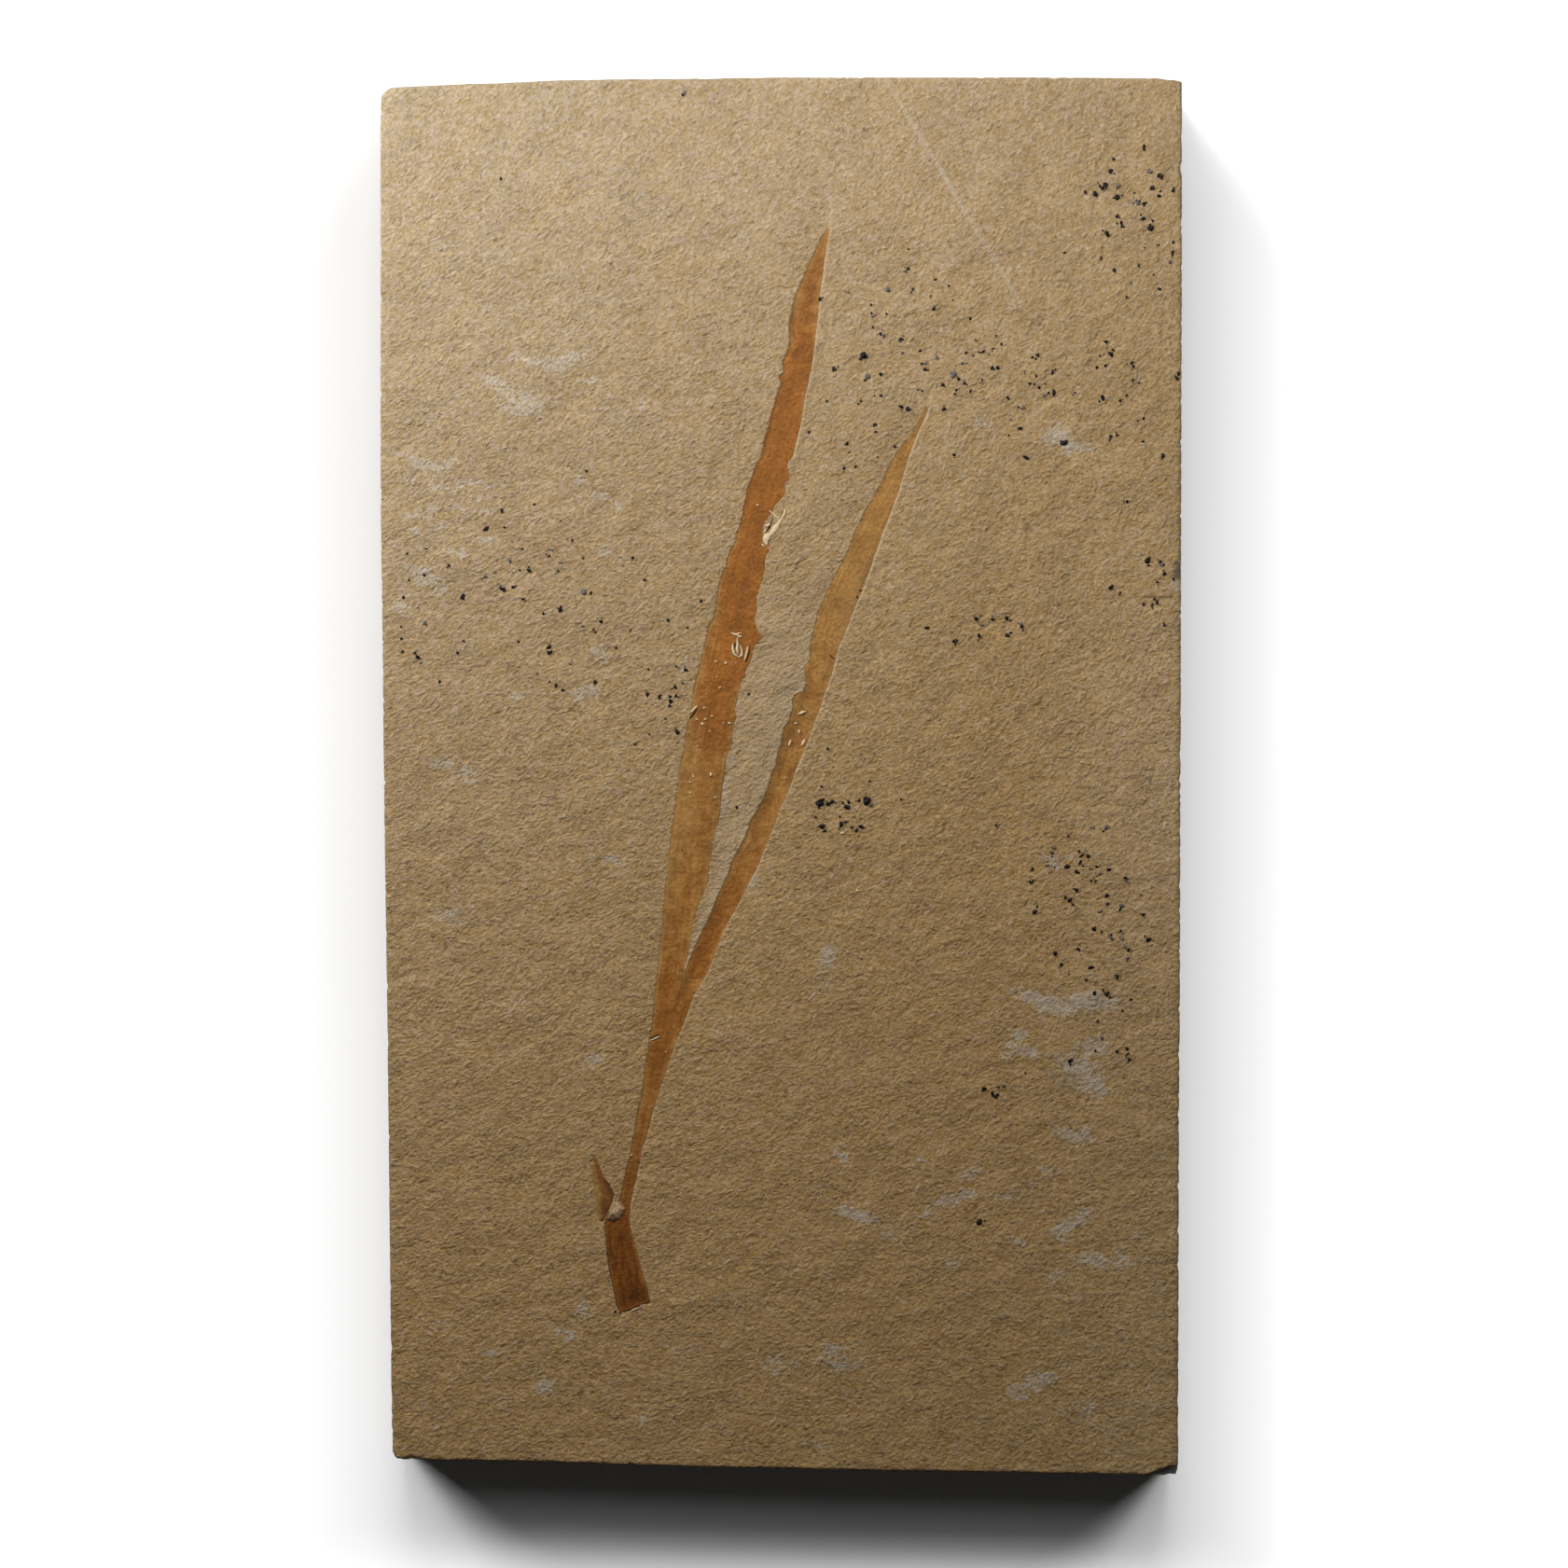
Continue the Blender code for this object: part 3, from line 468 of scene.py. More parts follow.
def cells(rows, columns):
    """Corner numbers of every cell of a grid of points, counterclockwise from above."""
    ids = np.arange(rows * columns).reshape(rows, columns)
    return np.stack([ids[:-1, :-1], ids[1:, :-1], ids[1:, 1:], ids[:-1, 1:]], -1)


def solid_sheet(top, thickness, keep):
    """Points and faces of a closed sheet: the kept cells of the upper grid, the same cells of a copy
    moved down by the thickness, and a strip along every edge that only one kept cell has. The last
    value gives, for each point, its place in the grid."""
    rows, columns = top.shape[:2]
    upper = top.reshape(-1, 3)
    count = len(upper)
    quads = cells(rows, columns)[keep]
    lower = upper - np.array([0, 0, 1.0]) * np.broadcast_to(thickness, (rows, columns)).reshape(-1, 1)
    starts, ends = quads.reshape(-1), np.roll(quads, -1, 1).reshape(-1)
    single = ~np.isin(starts * count + ends, ends * count + starts)
    a, b = starts[single], ends[single]
    walls = np.stack([b, a, a + count, b + count], -1)
    faces = np.concatenate([quads, quads[:, ::-1] + count, walls])
    used, faces = np.unique(faces, return_inverse=True)
    points = np.concatenate([upper, lower])[used]
    return points, faces.reshape(-1, 4), used % count


def plate_columns(y):
    """Columns of the plate's face for every row: even steps from each side towards the leaf, closer
    ones at its margins, a pair at each margin for the wall, and denser ends in the stone between
    the lobes."""
    y = y[:, None]
    a, b, c, d = margins(y)
    left, right = along(LEFT_SIDE)(y), along(RIGHT_SIDE)(y)
    near = np.array([13.0, 9.5, 6.6, 4.4, 2.6, 1.1])
    even = np.linspace(0, 1, 60)
    outer_left = np.concatenate([left, left + 2.4 + (a - near[0] - left - 2.4) * even], 1)
    gap = np.maximum(c - b, 0.02)
    s = np.linspace(0, 1, 24)
    s = s - 0.6 * np.sin(2 * np.pi * s) / (2 * np.pi)
    first, last = b + np.minimum(long_right_run(y), 0.3 * gap), c - np.minimum(1.1, 0.2 * gap)
    inner = np.array([0.25, 0.5, 0.75])
    away = np.array([2.4, 4.2, 6.6, 9.6, 13.5])
    even = np.linspace(0, 1, 84)
    outer_right = np.concatenate([d + 18 + (right - 2.4 - d - 18) * even, right], 1)
    return np.concatenate([outer_left, a - near[1:], a + 0.15, a + (b - a) * inner, b - 0.15,
                           first + (last - first) * s, c + 0.15, c + (d - c) * inner, d - 0.15,
                           d + away, outer_right], 1)


def chip_noise(along_rim, seed):
    """Small broken bites along a rim, 0 to 1: noise of three sizes, kept where it is high."""
    still = 0 * along_rim
    level = 0.6 * noise(along_rim, still, 14, seed) + 0.7 * noise(along_rim, still, 5, seed + 1)
    return np.clip(level + 0.5 * noise(along_rim, still, 2.7, seed + 2) - 0.1, 0, 1)


def plate_points():
    """Grid of the split face in pixels and metres. Rows are level, and near the top and bottom they
    bend to the sawn outline. The outermost row and column drop for the broken arris, and the lower
    corners are chipped."""
    y = np.concatenate([[84, 86.4], np.linspace(91, 232, 27), np.linspace(236, 1058, 317),
                        np.linspace(1062, 1412, 88), np.linspace(1417.5, 1550, 24),
                        [1555, 1559, 1562.5, 1565.5, 1568, 1570.2, 1572.6, 1575]])
    x = plate_columns(y)
    bite = chip_noise(y, 31)
    x[:, 0] += 1.8 * bite
    x[:, -1] -= 2.4 * chip_noise(y, 33)
    y = y[:, None] + (value_at(TOP_SIDE)(x) - 84) * fade((150 - y[:, None]) / 66) \
        + (value_at(BOTTOM_SIDE)(x) - 1575) * fade((y[:, None] - 1500) / 75)
    y[0] += 1.2 * chip_noise(x[0], 35)
    y[-1] -= 3.4 * chip_noise(x[-1], 37)
    x[-1, 0] += 1.2
    y[-1, 0] -= 1.2
    z = surface(x, y)
    drop = np.zeros_like(z)
    drop[:, 0] = 2.5e-4 + 3e-4 * bite
    drop[:, -1] = 2.4e-4 + 3e-4 * chip_noise(y[:, -1], 39)
    drop[0] = 2.5e-4 + 3e-4 * chip_noise(x[0], 41)
    drop[-1] = 1.4e-4 + 4e-4 * chip_noise(x[-1], 43)
    corner = ((x - 1235) * 11 + (y - 1581) * 28) / 30
    drop += 3.6e-4 * np.clip(corner + 1.5 * noise(x, y, 9, 45), 0, 14)
    drop += MM * spots(x, y, [(442, 1569, 9, 5, 2.6, 0), (417, 1536, 4, 5, 1.4, 0),
                                (1268, 611, 6, 12, 0.8, 0), (409, 100, 5, 8, 0.7, -30)])
    return x, y, z - drop


def limestone_plate(material):
    """The closed plate: the face grid, rings of points down the sawn sides with slight saw ripple,
    and one flat back."""
    x, y, z = plate_points()
    rows, columns = x.shape
    face = metres(x, y, z).reshape(-1, 3)
    ids = np.arange(rows * columns).reshape(rows, columns)
    loop = np.concatenate([ids[:-1, 0], ids[-1, :-1], ids[:0:-1, -1], ids[0, :0:-1]])
    rim = face[loop]
    step = np.roll(rim, -3, 0) - np.roll(rim, 3, 0)
    inward = np.stack([-step[:, 1], step[:, 0], 0 * step[:, 0]], -1)
    inward /= np.linalg.norm(inward, axis=1)[:, None]
    run = np.cumsum(np.linalg.norm(step, axis=1)) / 6 / PIXEL
    rings = [face]
    for level in (0.0208, 0.016, 0.0105, 0.005, 0.0007, 0.0):
        inset = MM * (0.12 + 0.10 * noise(run, level / PIXEL + 0 * run, 40, 51)
                        + 0.08 * noise(run, level / PIXEL * 3 + 0 * run, 9, 52))
        inset = inset + (0.0006 if level == 0 else 0.0001)
        ring = rim + inward * inset[:, None]
        ring[:, 2] = np.minimum(level, rim[:, 2] - 2e-4) if level > 0.02 else level
        rings.append(ring)
    points = np.concatenate(rings)
    count = len(loop)
    chains = [loop] + [len(face) + k * count + np.arange(count) for k in range(len(rings) - 1)]
    faces = [cells(rows, columns).reshape(-1, 4)]
    for upper, lower in zip(chains[:-1], chains[1:]):
        faces.append(np.stack([np.roll(upper, -1), upper, lower, np.roll(lower, -1)], -1))
    faces = np.concatenate(faces).tolist() + [chains[-1][::-1].tolist()]
    px = np.concatenate([x.ravel(), MIDDLE[0] + points[len(face):, 0] / PIXEL])
    py = np.concatenate([y.ravel(), MIDDLE[1] - points[len(face):, 1] / PIXEL])
    side = np.concatenate([np.zeros(len(face)), np.ones(len(points) - len(face))])
    a, b, c, d = margins(py)
    across = (px - b) / np.maximum(c - b, 1)
    between = (across > 0) & (across < 1) & (py < FORK)
    # dusk darkens the stone: between the lobes, from about 480 to 940 px down, it is painted shade on the
    # flank just right of the long lobe's right margin; the ellipses add more darker marks, one of them the
    # same painted shade higher up.
    low = fade((py - 480) / 60) * (1 - fade((py - 940) / 60))
    dusk = 0.2 * between * low * np.exp(-((px - b - 5) / 11) ** 2) + spots(px, py, DUSK)
    # lip is painted highlight: a pale band on the stone that rises to the short lobe's left margin and faces
    # the lamps.
    lip = fade((py - 690) / 60) * between * (np.exp(-((c - px - 3.5) / 3.5) ** 2)
                                             + 0.3 * np.exp(-((c - px - 9) / 9) ** 2))
    grey = (0.45 + 0.5 * noise(px, py, 16, 55)) * between * fade((py - 735) / 30)
    grey = grey * (1 - fade((py - 900) / 50)) * np.exp(-((px - b - 4) / 5) ** 2)
    # A broad paler tint over the stone between the lobes, from about 600 to 900 px down.
    lip += 0.4 * between * fade((py - 600) / 70) * (1 - fade((py - 900) / 80))
    # crisp is painted highlight: pale lines on stone walls that face the lamps, beside the short lobe's right
    # margin and the long lobe's upper right margin; a fainter pale line runs beside the stem's left margin.
    crisp = np.exp(-((px - d - 1.1) / 1.6) ** 2) * fade((py - 430) / 12) * (
        0.35 + 0.65 * (1 - fade((py - 820) / 60))) * (1 - fade((py - 1290) / 20))
    crisp += np.exp(-((px - b - 1.0) / 1.4) ** 2) * fade((py - 212) / 12) * (1 - fade((py - 485) / 15))
    crisp += (0.3 * np.exp(-((px - a + 0.8) / 1.6) ** 2)
              * fade((py - 1310) / 10) * (1 - fade((py - 1400) / 10)))
    piece = mesh_piece("limestone_plate", points, faces, material, side=side,
                       chalk=spots(px, py, CHALK) + grey, dusk=dusk, cream=lip + spots(px, py, CREAM),
                       crisp=np.clip(crisp, 0, 1))
    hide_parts("stone_slab")
    return piece


def top_of(x, y):
    """Height of what shows from above: the stone, or the film where it covers the stone."""
    return np.maximum(surface(x, y), np.where(inside_film(x, y), film_height(x, y), 0))


def blobs(places, seed, around=7, flat=0.5, sink=0.1):
    """Points and faces of many small lumps, joined: each place gives x, y, radius in pixels. A lump
    is two uneven rings of points between a top and a foot point, flattened upwards, standing on the
    stone with a share of its height sunk in."""
    rng = np.random.default_rng(seed)
    x, y, radius = np.array(places, float).T
    count = len(x)
    turn = rng.uniform(0, 2 * np.pi, (count, 1)) + np.linspace(0, 2 * np.pi, around, endpoint=False)
    rough = radius[:, None] * rng.uniform(0.62, 1.38, (count, around))
    squeeze = rng.uniform(0.5, 1.0, (count, 1))
    lean = rng.uniform(0, np.pi, (count, 1))
    rings = []
    for reach, height in ((1.0, 0.15), (0.62, 0.8)):
        u = rough * reach * np.cos(turn)
        v = rough * reach * np.sin(turn) * squeeze
        px = x[:, None] + u * np.cos(lean) - v * np.sin(lean)
        py = y[:, None] + u * np.sin(lean) + v * np.cos(lean)
        lift = height * rng.uniform(0.75, 1.2, (count, around))
        rings.append((px, py, lift))
    px = np.concatenate([rings[0][0], rings[1][0], x[:, None], x[:, None]], 1)
    py = np.concatenate([rings[0][1], rings[1][1], y[:, None], y[:, None]], 1)
    lift = np.concatenate([rings[0][2], rings[1][2], np.ones((count, 1)), -np.ones((count, 1))], 1)
    tall = radius[:, None] * PIXEL * flat
    base = top_of(x, y)[:, None] + 5e-5 - sink * tall
    points = metres(px, py, base + lift * tall).reshape(-1, 3)
    one, nxt = np.arange(around), np.roll(np.arange(around), -1)
    top, foot = np.full(around, 2 * around), np.full(around, 2 * around + 1)
    wall = np.stack([one, one + around, nxt + around, nxt], -1)
    cap = np.stack([one + around, top, nxt + around], -1)
    root = np.stack([one, nxt, foot], -1)
    offset = (np.arange(count) * (2 * around + 2))[:, None, None]
    faces = [f for part in (wall, cap, root) for f in (part + offset).reshape(-1, part.shape[1]).tolist()]
    return points, faces


def rod(path, height, lift=0.0, sides=6):
    """Points and faces of a thin bar along a path, each place with its half width in pixels: an
    ellipse of that half width and the given height in metres round each point, shrinking to a point
    at both ends."""
    path = np.array(path, float)
    steps = np.linspace(0, len(path) - 1, 4 * len(path) + 1)
    x = np.interp(steps, np.arange(len(path)), path[:, 0])
    y = np.interp(steps, np.arange(len(path)), path[:, 1])
    width = np.interp(steps, np.arange(len(path)), path[:, 2])[:, None]
    tx, ty = np.gradient(x), np.gradient(y)
    size = np.hypot(tx, ty)
    swell = np.sqrt(np.sin(np.pi * np.linspace(0.02, 0.98, len(x))))[:, None]
    turn = np.linspace(0, 2 * np.pi, sides, endpoint=False)
    px = x[:, None] + (ty / size)[:, None] * width * swell * np.cos(turn)
    py = y[:, None] - (tx / size)[:, None] * width * swell * np.cos(turn)
    pz = top_of(x, y)[:, None] + lift + height * swell * np.sin(turn)
    points = metres(px, py, pz).reshape(-1, 3)
    rows = len(x)
    ids = np.arange(rows * sides).reshape(rows, sides)
    ring = np.roll(ids, -1, 1)
    faces = np.stack([ids[:-1], ring[:-1], ring[1:], ids[1:]], -1).reshape(-1, 4).tolist()
    return points, faces + [ids[0][::-1].tolist(), ids[-1].tolist()]


def joined(parts):
    """One list of points and faces from several."""
    points, faces, count = [], [], 0
    for part, these in parts:
        points.append(part)
        faces += [[i + count for i in face] for face in these]
        count += len(part)
    return np.concatenate(points), faces


def film_attributes(x, y, across, width):
    """Numbers that colour the film: a lengthwise grain vector in metres (short across, long along),
    how golden it is, how dark, and how pale, all from its place."""
    along_leaf = np.hypot(x - 680, y - 1300) * PIXEL
    threads = np.stack([across * width * PIXEL, along_leaf * 0.07, 0 * across], -1)
    gold = np.where(across_is_long(x, y), value_at(GOLD_LONG)(y), value_at(GOLD_SHORT)(y))
    dark = value_at(DARK_ALONG)(y) + spots(x, y, FILM_DARK)
    edge = np.minimum(across, 1 - across) * width
    gold = gold + 0.45 * np.exp(-(edge / 4.5) ** 2)
    gold = gold + (1.1 * np.clip(0.45 - across, 0, 1) * across_is_long(x, y)
                   * fade((y - 540) / 90) * fade((1010 - y) / 60))
    return threads, gold, np.clip(dark, 0, 1), np.clip(spots(x, y, FILM_PALE), 0, 1)


def across_is_long(x, y):
    """True on the long lobe's side of the line between the lobes."""
    _, b, c, _ = margins(y)
    return (x < 0.5 * (b + c)) | (y > FORK)


def forked_leaf(material):
    """The whole leaf film as one closed sheet. Rows are level. The columns run up the stalk and part
    at the fork: the one between the lobes is left out above it, and the short lobe's columns start
    at its own tip. The long lobe has a faint furrow, the lower short lobe is dished."""
    y = np.concatenate([np.linspace(LONG_TIP, FORK, 600), np.linspace(1046.6, 1304, 160)])[:, None]
    s = np.array([0, 0.03, 0.08, 0.16, 0.25, 0.34, 0.43, 0.52, 0.61, 0.70, 0.79, 0.87, 0.93, 0.97, 1.0])
    a, b, c, d = margins(y)
    a = np.where(y > 1286, 664.7 + (y - 1286) * 0.25, a)
    middle = along([(732.6, 1045), (722, 1090), (714, 1120), (703, 1160), (696, 1190), (685, 1240),
                    (672, 1290), (669.5, 1304)])(y)
    b = np.where(y > FORK, middle - 0.3, b)
    c = np.where(y > FORK, middle + 0.3, c)
    gap = np.maximum(c - b, 0.02)
    apart = y < FORK
    a = a - overlap(1.1, wall_long_left(y))
    b = b + overlap(np.minimum(long_right_run(y), 0.3 * gap), wall_long_right(y)) * apart
    c = c - overlap(np.minimum(1.1, 0.2 * gap), wall_short_left(y)) * apart
    d = d + overlap(2.4, wall_short_right(y))
    x = np.concatenate([a + (b - a) * s, c + (d - c) * s], 1)
    rows, columns = x.shape
    y = np.broadcast_to(y, x.shape)
    long_width, short_width = b - a, d - c
    whole = np.concatenate([s * 0 + long_width, s * 0 + short_width], 1)
    across = np.broadcast_to(np.concatenate([s, s]), x.shape)
    share = np.concatenate([long_width, short_width], 1)[:, [0, 1]]
    total = share.sum(1, keepdims=True)
    joint = np.concatenate([s * share[:, :1], share[:, :1] + s * share[:, 1:]], 1) / total
    mix = fade((y - FORK) / 50)
    u = across * (1 - mix) + joint * mix
    width = whole * (1 - mix) + total * mix
    dish = fade((y - 700) / 90) * (1 - mix) * (np.arange(columns) >= len(s))
    profile = -0.16 * dish * (1 - (2 * u - 1) ** 2) - 0.035 * np.exp(-((u - 0.55) / 0.16) ** 2)
    profile = profile - 0.04 * np.exp(-(np.minimum(u, 1 - u) * width / 1.1) ** 2)
    profile = profile + 0.035 * noise(x * 2.2, y * 0.7, 30, 23) + 0.018 * noise(x * 2, y, 11, 24)
    profile = profile - spots(x, y, PITS)
    z = film_height(x, y) + MM * profile
    keep = np.ones((rows - 1, columns - 1), bool)
    top_y = y[:-1, :1]
    keep[:, len(s) - 1] = top_y[:, 0] >= FORK
    keep[:, len(s):] = top_y >= SHORT_TIP
    points, faces, place = solid_sheet(metres(x, y, z), 2.6e-4, keep)
    threads, gold, dark, pale = film_attributes(x, y, u, width)
    piece = mesh_piece("forked_leaf", points, faces, material, threads=threads.reshape(-1, 3)[place],
                       gold=gold.ravel()[place], dark=dark.ravel()[place], pale=pale.ravel()[place])
    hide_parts("leaf_stalk", "long_lobe", "short_lobe")
    return piece


def strip_film(name, left, right, rows, material, lift, crown, node):
    """A closed film between two margins, each a list of photo places from the top to the bottom end:
    row v joins the points at the share v of both, and the film is crowned across by 1 - (2u - 1)^2."""
    v = np.linspace(0, 1, rows)[:, None]
    u = np.linspace(0, 1, 13)[None, :]
    sides = []
    for side in (left, right):
        side = np.array(side, float)
        run = np.concatenate([[0], np.cumsum(np.hypot(*np.diff(side, axis=0).T))])
        run /= run[-1]
        sides.append([np.interp(v[:, 0], run, side[:, k])[:, None] for k in (0, 1)])
    (lx, ly), (rx, ry) = sides
    x, y = lx + (rx - lx) * u, ly + (ry - ly) * u
    z = film_height(x, y) + MM * (lift + crown * (1 - (2 * u - 1) ** 2)
                                    + 0.05 * noise(x * 1.6, y * 0.6, 9, 25) + 0.03 * noise(x, y, 5, 26))
    keep = np.ones((rows - 1, 12), bool)
    points, faces, place = solid_sheet(metres(x, y, z), 3e-4, keep)
    width = np.hypot(rx - lx, ry - ly)
    threads = np.stack([u * width * PIXEL, (0 * u + v) * 0.004, 0 * x], -1)
    numbers = {"across": 0 * v + u, "down": v + 0 * u}
    numbers["dark"] = np.clip(spots(x, y, FILM_DARK), 0, 1)
    piece = mesh_piece(name, points, faces, material, threads=threads.reshape(-1, 3)[place],
                       **{label: value.ravel()[place] for label, value in numbers.items()})
    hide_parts(node)
    return piece


def crust_lump(material):
    """The lump of pale crust: a dome over an uneven outline, its height the root of 1 - r^2 with
    noise, and a small dip at the lower left. The dip and the foot carry painted shade, and a spot
    at the right is painted darker."""
    outline = np.array([(658.4, 1286.5), (666, 1288.5), (670.5, 1294.4), (669, 1301.4), (662, 1308.8),
                        (656.3, 1311.6), (650, 1307.5), (652.5, 1298.6)])
    around, rings_out, middle_x, middle_y = 64, 21, 660.2, 1298.4
    angle = np.linspace(0, 2 * np.pi, around, endpoint=False)
    ends = np.linspace(0, len(outline), around, endpoint=False)
    closed = np.vstack([outline, outline[:1]])
    rim_x = np.interp(ends, np.arange(len(closed)), closed[:, 0]) + 0.5 * np.sin(5 * angle)
    rim_y = np.interp(ends, np.arange(len(closed)), closed[:, 1]) + 0.5 * np.cos(4 * angle)
    r = np.linspace(0, 1, rings_out + 1)[1:, None]
    x, y = middle_x + (rim_x - middle_x) * r, middle_y + (rim_y - middle_y) * r
    z = film_height(x, y) - 2.5e-4 + MM * np.sqrt(1 - r**2 + 1e-9) * (
        0.85 + 0.14 * noise(x, y, 4.5, 27) + 0.07 * noise(x, y, 2, 28))
    z -= MM * spots(x, y, [(656.5, 1304.5, 3.0, 2.2, 0.40, 20)])
    rings = metres(x, y, z)
    peak = metres(middle_x, middle_y, rings[0, :, 2].mean())[None]
    foot = metres(middle_x, middle_y, FILM - 6e-4)[None]
    points = np.concatenate([rings.reshape(-1, 3), peak, foot])
    count = rings_out * around
    ids = np.arange(count).reshape(rings_out, around)
    nxt = np.roll(ids, -1, 1)
    faces = np.stack([ids[:-1], nxt[:-1], nxt[1:], ids[1:]], -1)[:, :, ::-1].reshape(-1, 4).tolist()
    faces += [[count, int(q), int(p)] for p, q in zip(ids[0], nxt[0])]
    faces += [[count + 1, int(p), int(q)] for p, q in zip(ids[-1], nxt[-1])]
    # Painted shade in the dip and round the foot, and a darker spot at the right.
    hollow = spots(x, y, [(658, 1307.5, 7, 3.6, 1.0, 10), (668, 1302, 3, 4, 0.7, 30)])
    hollow = (hollow + 0.5 * r**5).ravel()
    piece = mesh_piece("crust_lump", points, faces, material, hollow=np.append(hollow, [0, 0]))
    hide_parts("axil_lump")
    return piece


# Materials
# Colours of the stone and of the leaf, as linear red, green and blue.
# Some of these paint light and shade: the lit crumb colour and the pit brown are painted highlight and
# painted shade on the grain, the pale wall colour is painted highlight on lit walls, the chip colour is
# painted shade on the chipped corners, and the dusky and creamy colours are partly painted shade and painted
# highlight by the leaf.
PALE_BUFF = (0.500, 0.397, 0.254)
OCHRE = (0.543, 0.343, 0.136)
WARM_RIM = (0.665, 0.470, 0.245)
BROWN_MOTTLE = (0.53, 0.345, 0.160)
LIT_CRUMB = (0.64, 0.50, 0.33)
PIT_SHADE_BROWN = (0.24, 0.15, 0.07)
POWDER = (0.66, 0.57, 0.46)
DUSKY = (0.27, 0.19, 0.11)
CREAMY = (0.62, 0.47, 0.29)
WALL_HIGHLIGHT = (0.70, 0.57, 0.40)
OLIVE_STAIN = (0.26, 0.20, 0.13)
PALE_STAIN = (0.66, 0.56, 0.40)
BROWN_STAIN = (0.22, 0.13, 0.06)
CHIP_SHADE_DARK = (0.030, 0.022, 0.012)
SCRATCH_PALE = (0.62, 0.52, 0.38)
RUST = (0.36, 0.12, 0.04)
SAWN_DARK = (0.36, 0.25, 0.135)
SAWN_PALE = (0.46, 0.335, 0.2)
FILM_BROWN = (0.392, 0.146, 0.023)
FILM_GOLD = (0.440, 0.228, 0.060)
FILM_SHADE = (0.10, 0.032, 0.010)
FILM_TAN = (0.47, 0.30, 0.14)
RUBBED_SPECK = (0.55, 0.42, 0.26)


class Look:
    """One procedural material. Most methods add a node and give back its output."""

    def __init__(self, name, roughness, specular):
        self.material = bpy.data.materials.new(name)
        self.material.use_nodes = True
        self.nodes = self.material.node_tree.nodes
        self.links = self.material.node_tree.links
        self.surface = self.nodes["Principled BSDF"]
        self.surface.inputs["Roughness"].default_value = roughness
        self.surface.inputs["Specular IOR Level"].default_value = specular
        self.place = self.nodes.new("ShaderNodeTexCoord").outputs["Object"]

    def plug(self, socket, value):
        """Joins another node's output to the socket, or sets the socket to a plain value."""
        if isinstance(value, bpy.types.NodeSocket):
            self.links.new(value, socket)
        else:
            socket.default_value = value

    def node(self, kind, inputs, **settings):
        made = self.nodes.new(kind)
        for label, value in settings.items():
            setattr(made, label, value)
        for label, value in inputs.items():
            self.plug(made.inputs[label], value)
        return made

    def noise(self, size, detail=3.0, rough=0.55, where=None, bend=0.0):
        made = self.node("ShaderNodeTexNoise", {"Vector": where or self.place, "Scale": 1 / size,
                         "Detail": detail, "Roughness": rough, "Distortion": bend})
        return made.outputs[0]

    def from_spot(self, x, y, wide, tall, ragged=0.0, turn=0.0):
        """Distance from a place on the face given in photo pixels, 1 on the ellipse of the given half
        width and half height, turned by the given degrees and made ragged by a value about 0."""
        centre = metres(x, y, FACE)
        inputs = {"Vector": self.place, "Scale": (wide * PIXEL, tall * PIXEL, 1.0),
                  "Location": tuple(centre), "Rotation": (0.0, 0.0, np.radians(turn))}
        moved = self.node("ShaderNodeMapping", inputs, vector_type="TEXTURE")
        away = self.node("ShaderNodeVectorMath", {0: moved.outputs[0]}, operation="LENGTH")
        return self.calc("ADD", away.outputs["Value"], ragged)

    def stored(self, label, vector=False):
        made = self.nodes.new("ShaderNodeAttribute")
        made.attribute_name = label
        return made.outputs["Vector" if vector else "Fac"]

    def band(self, value, low, high, start=0.0, end=1.0):
        made = self.node("ShaderNodeMapRange", {"Value": value, "From Min": low, "From Max": high,
                         "To Min": start, "To Max": end}, interpolation_type="SMOOTHSTEP")
        return made.outputs["Result"]

    def calc(self, operation, a, b=0.0, c=0.0):
        made = self.nodes.new("ShaderNodeMath")
        made.operation = operation
        for socket, value in zip(made.inputs, (a, b, c)):
            self.plug(socket, value)
        return made.outputs[0]

    def mix(self, share, a, b, way="MIX"):
        made = self.nodes.new("ShaderNodeMix")
        made.data_type = "RGBA"
        made.blend_type = way
        for socket, value in ((made.inputs[0], share), (made.inputs[6], a), (made.inputs[7], b)):
            self.plug(socket, value if not isinstance(value, tuple) else (*value, 1.0))
        return made.outputs[2]

    def tone(self, colour, factor):
        """The colour times a grey factor."""
        grey = self.node("ShaderNodeCombineColor", {"Red": factor, "Green": factor, "Blue": factor})
        return self.mix(1.0, colour, grey.outputs[0], "MULTIPLY")

    def bump(self, height, distance):
        inputs = {"Strength": 1.0, "Distance": distance, "Height": height}
        return self.node("ShaderNodeBump", inputs).outputs[0]

    def finish(self, colour, normal=None):
        self.plug(self.surface.inputs["Base Color"], colour)
        if normal is not None:
            self.plug(self.surface.inputs["Normal"], normal)
        return self.material


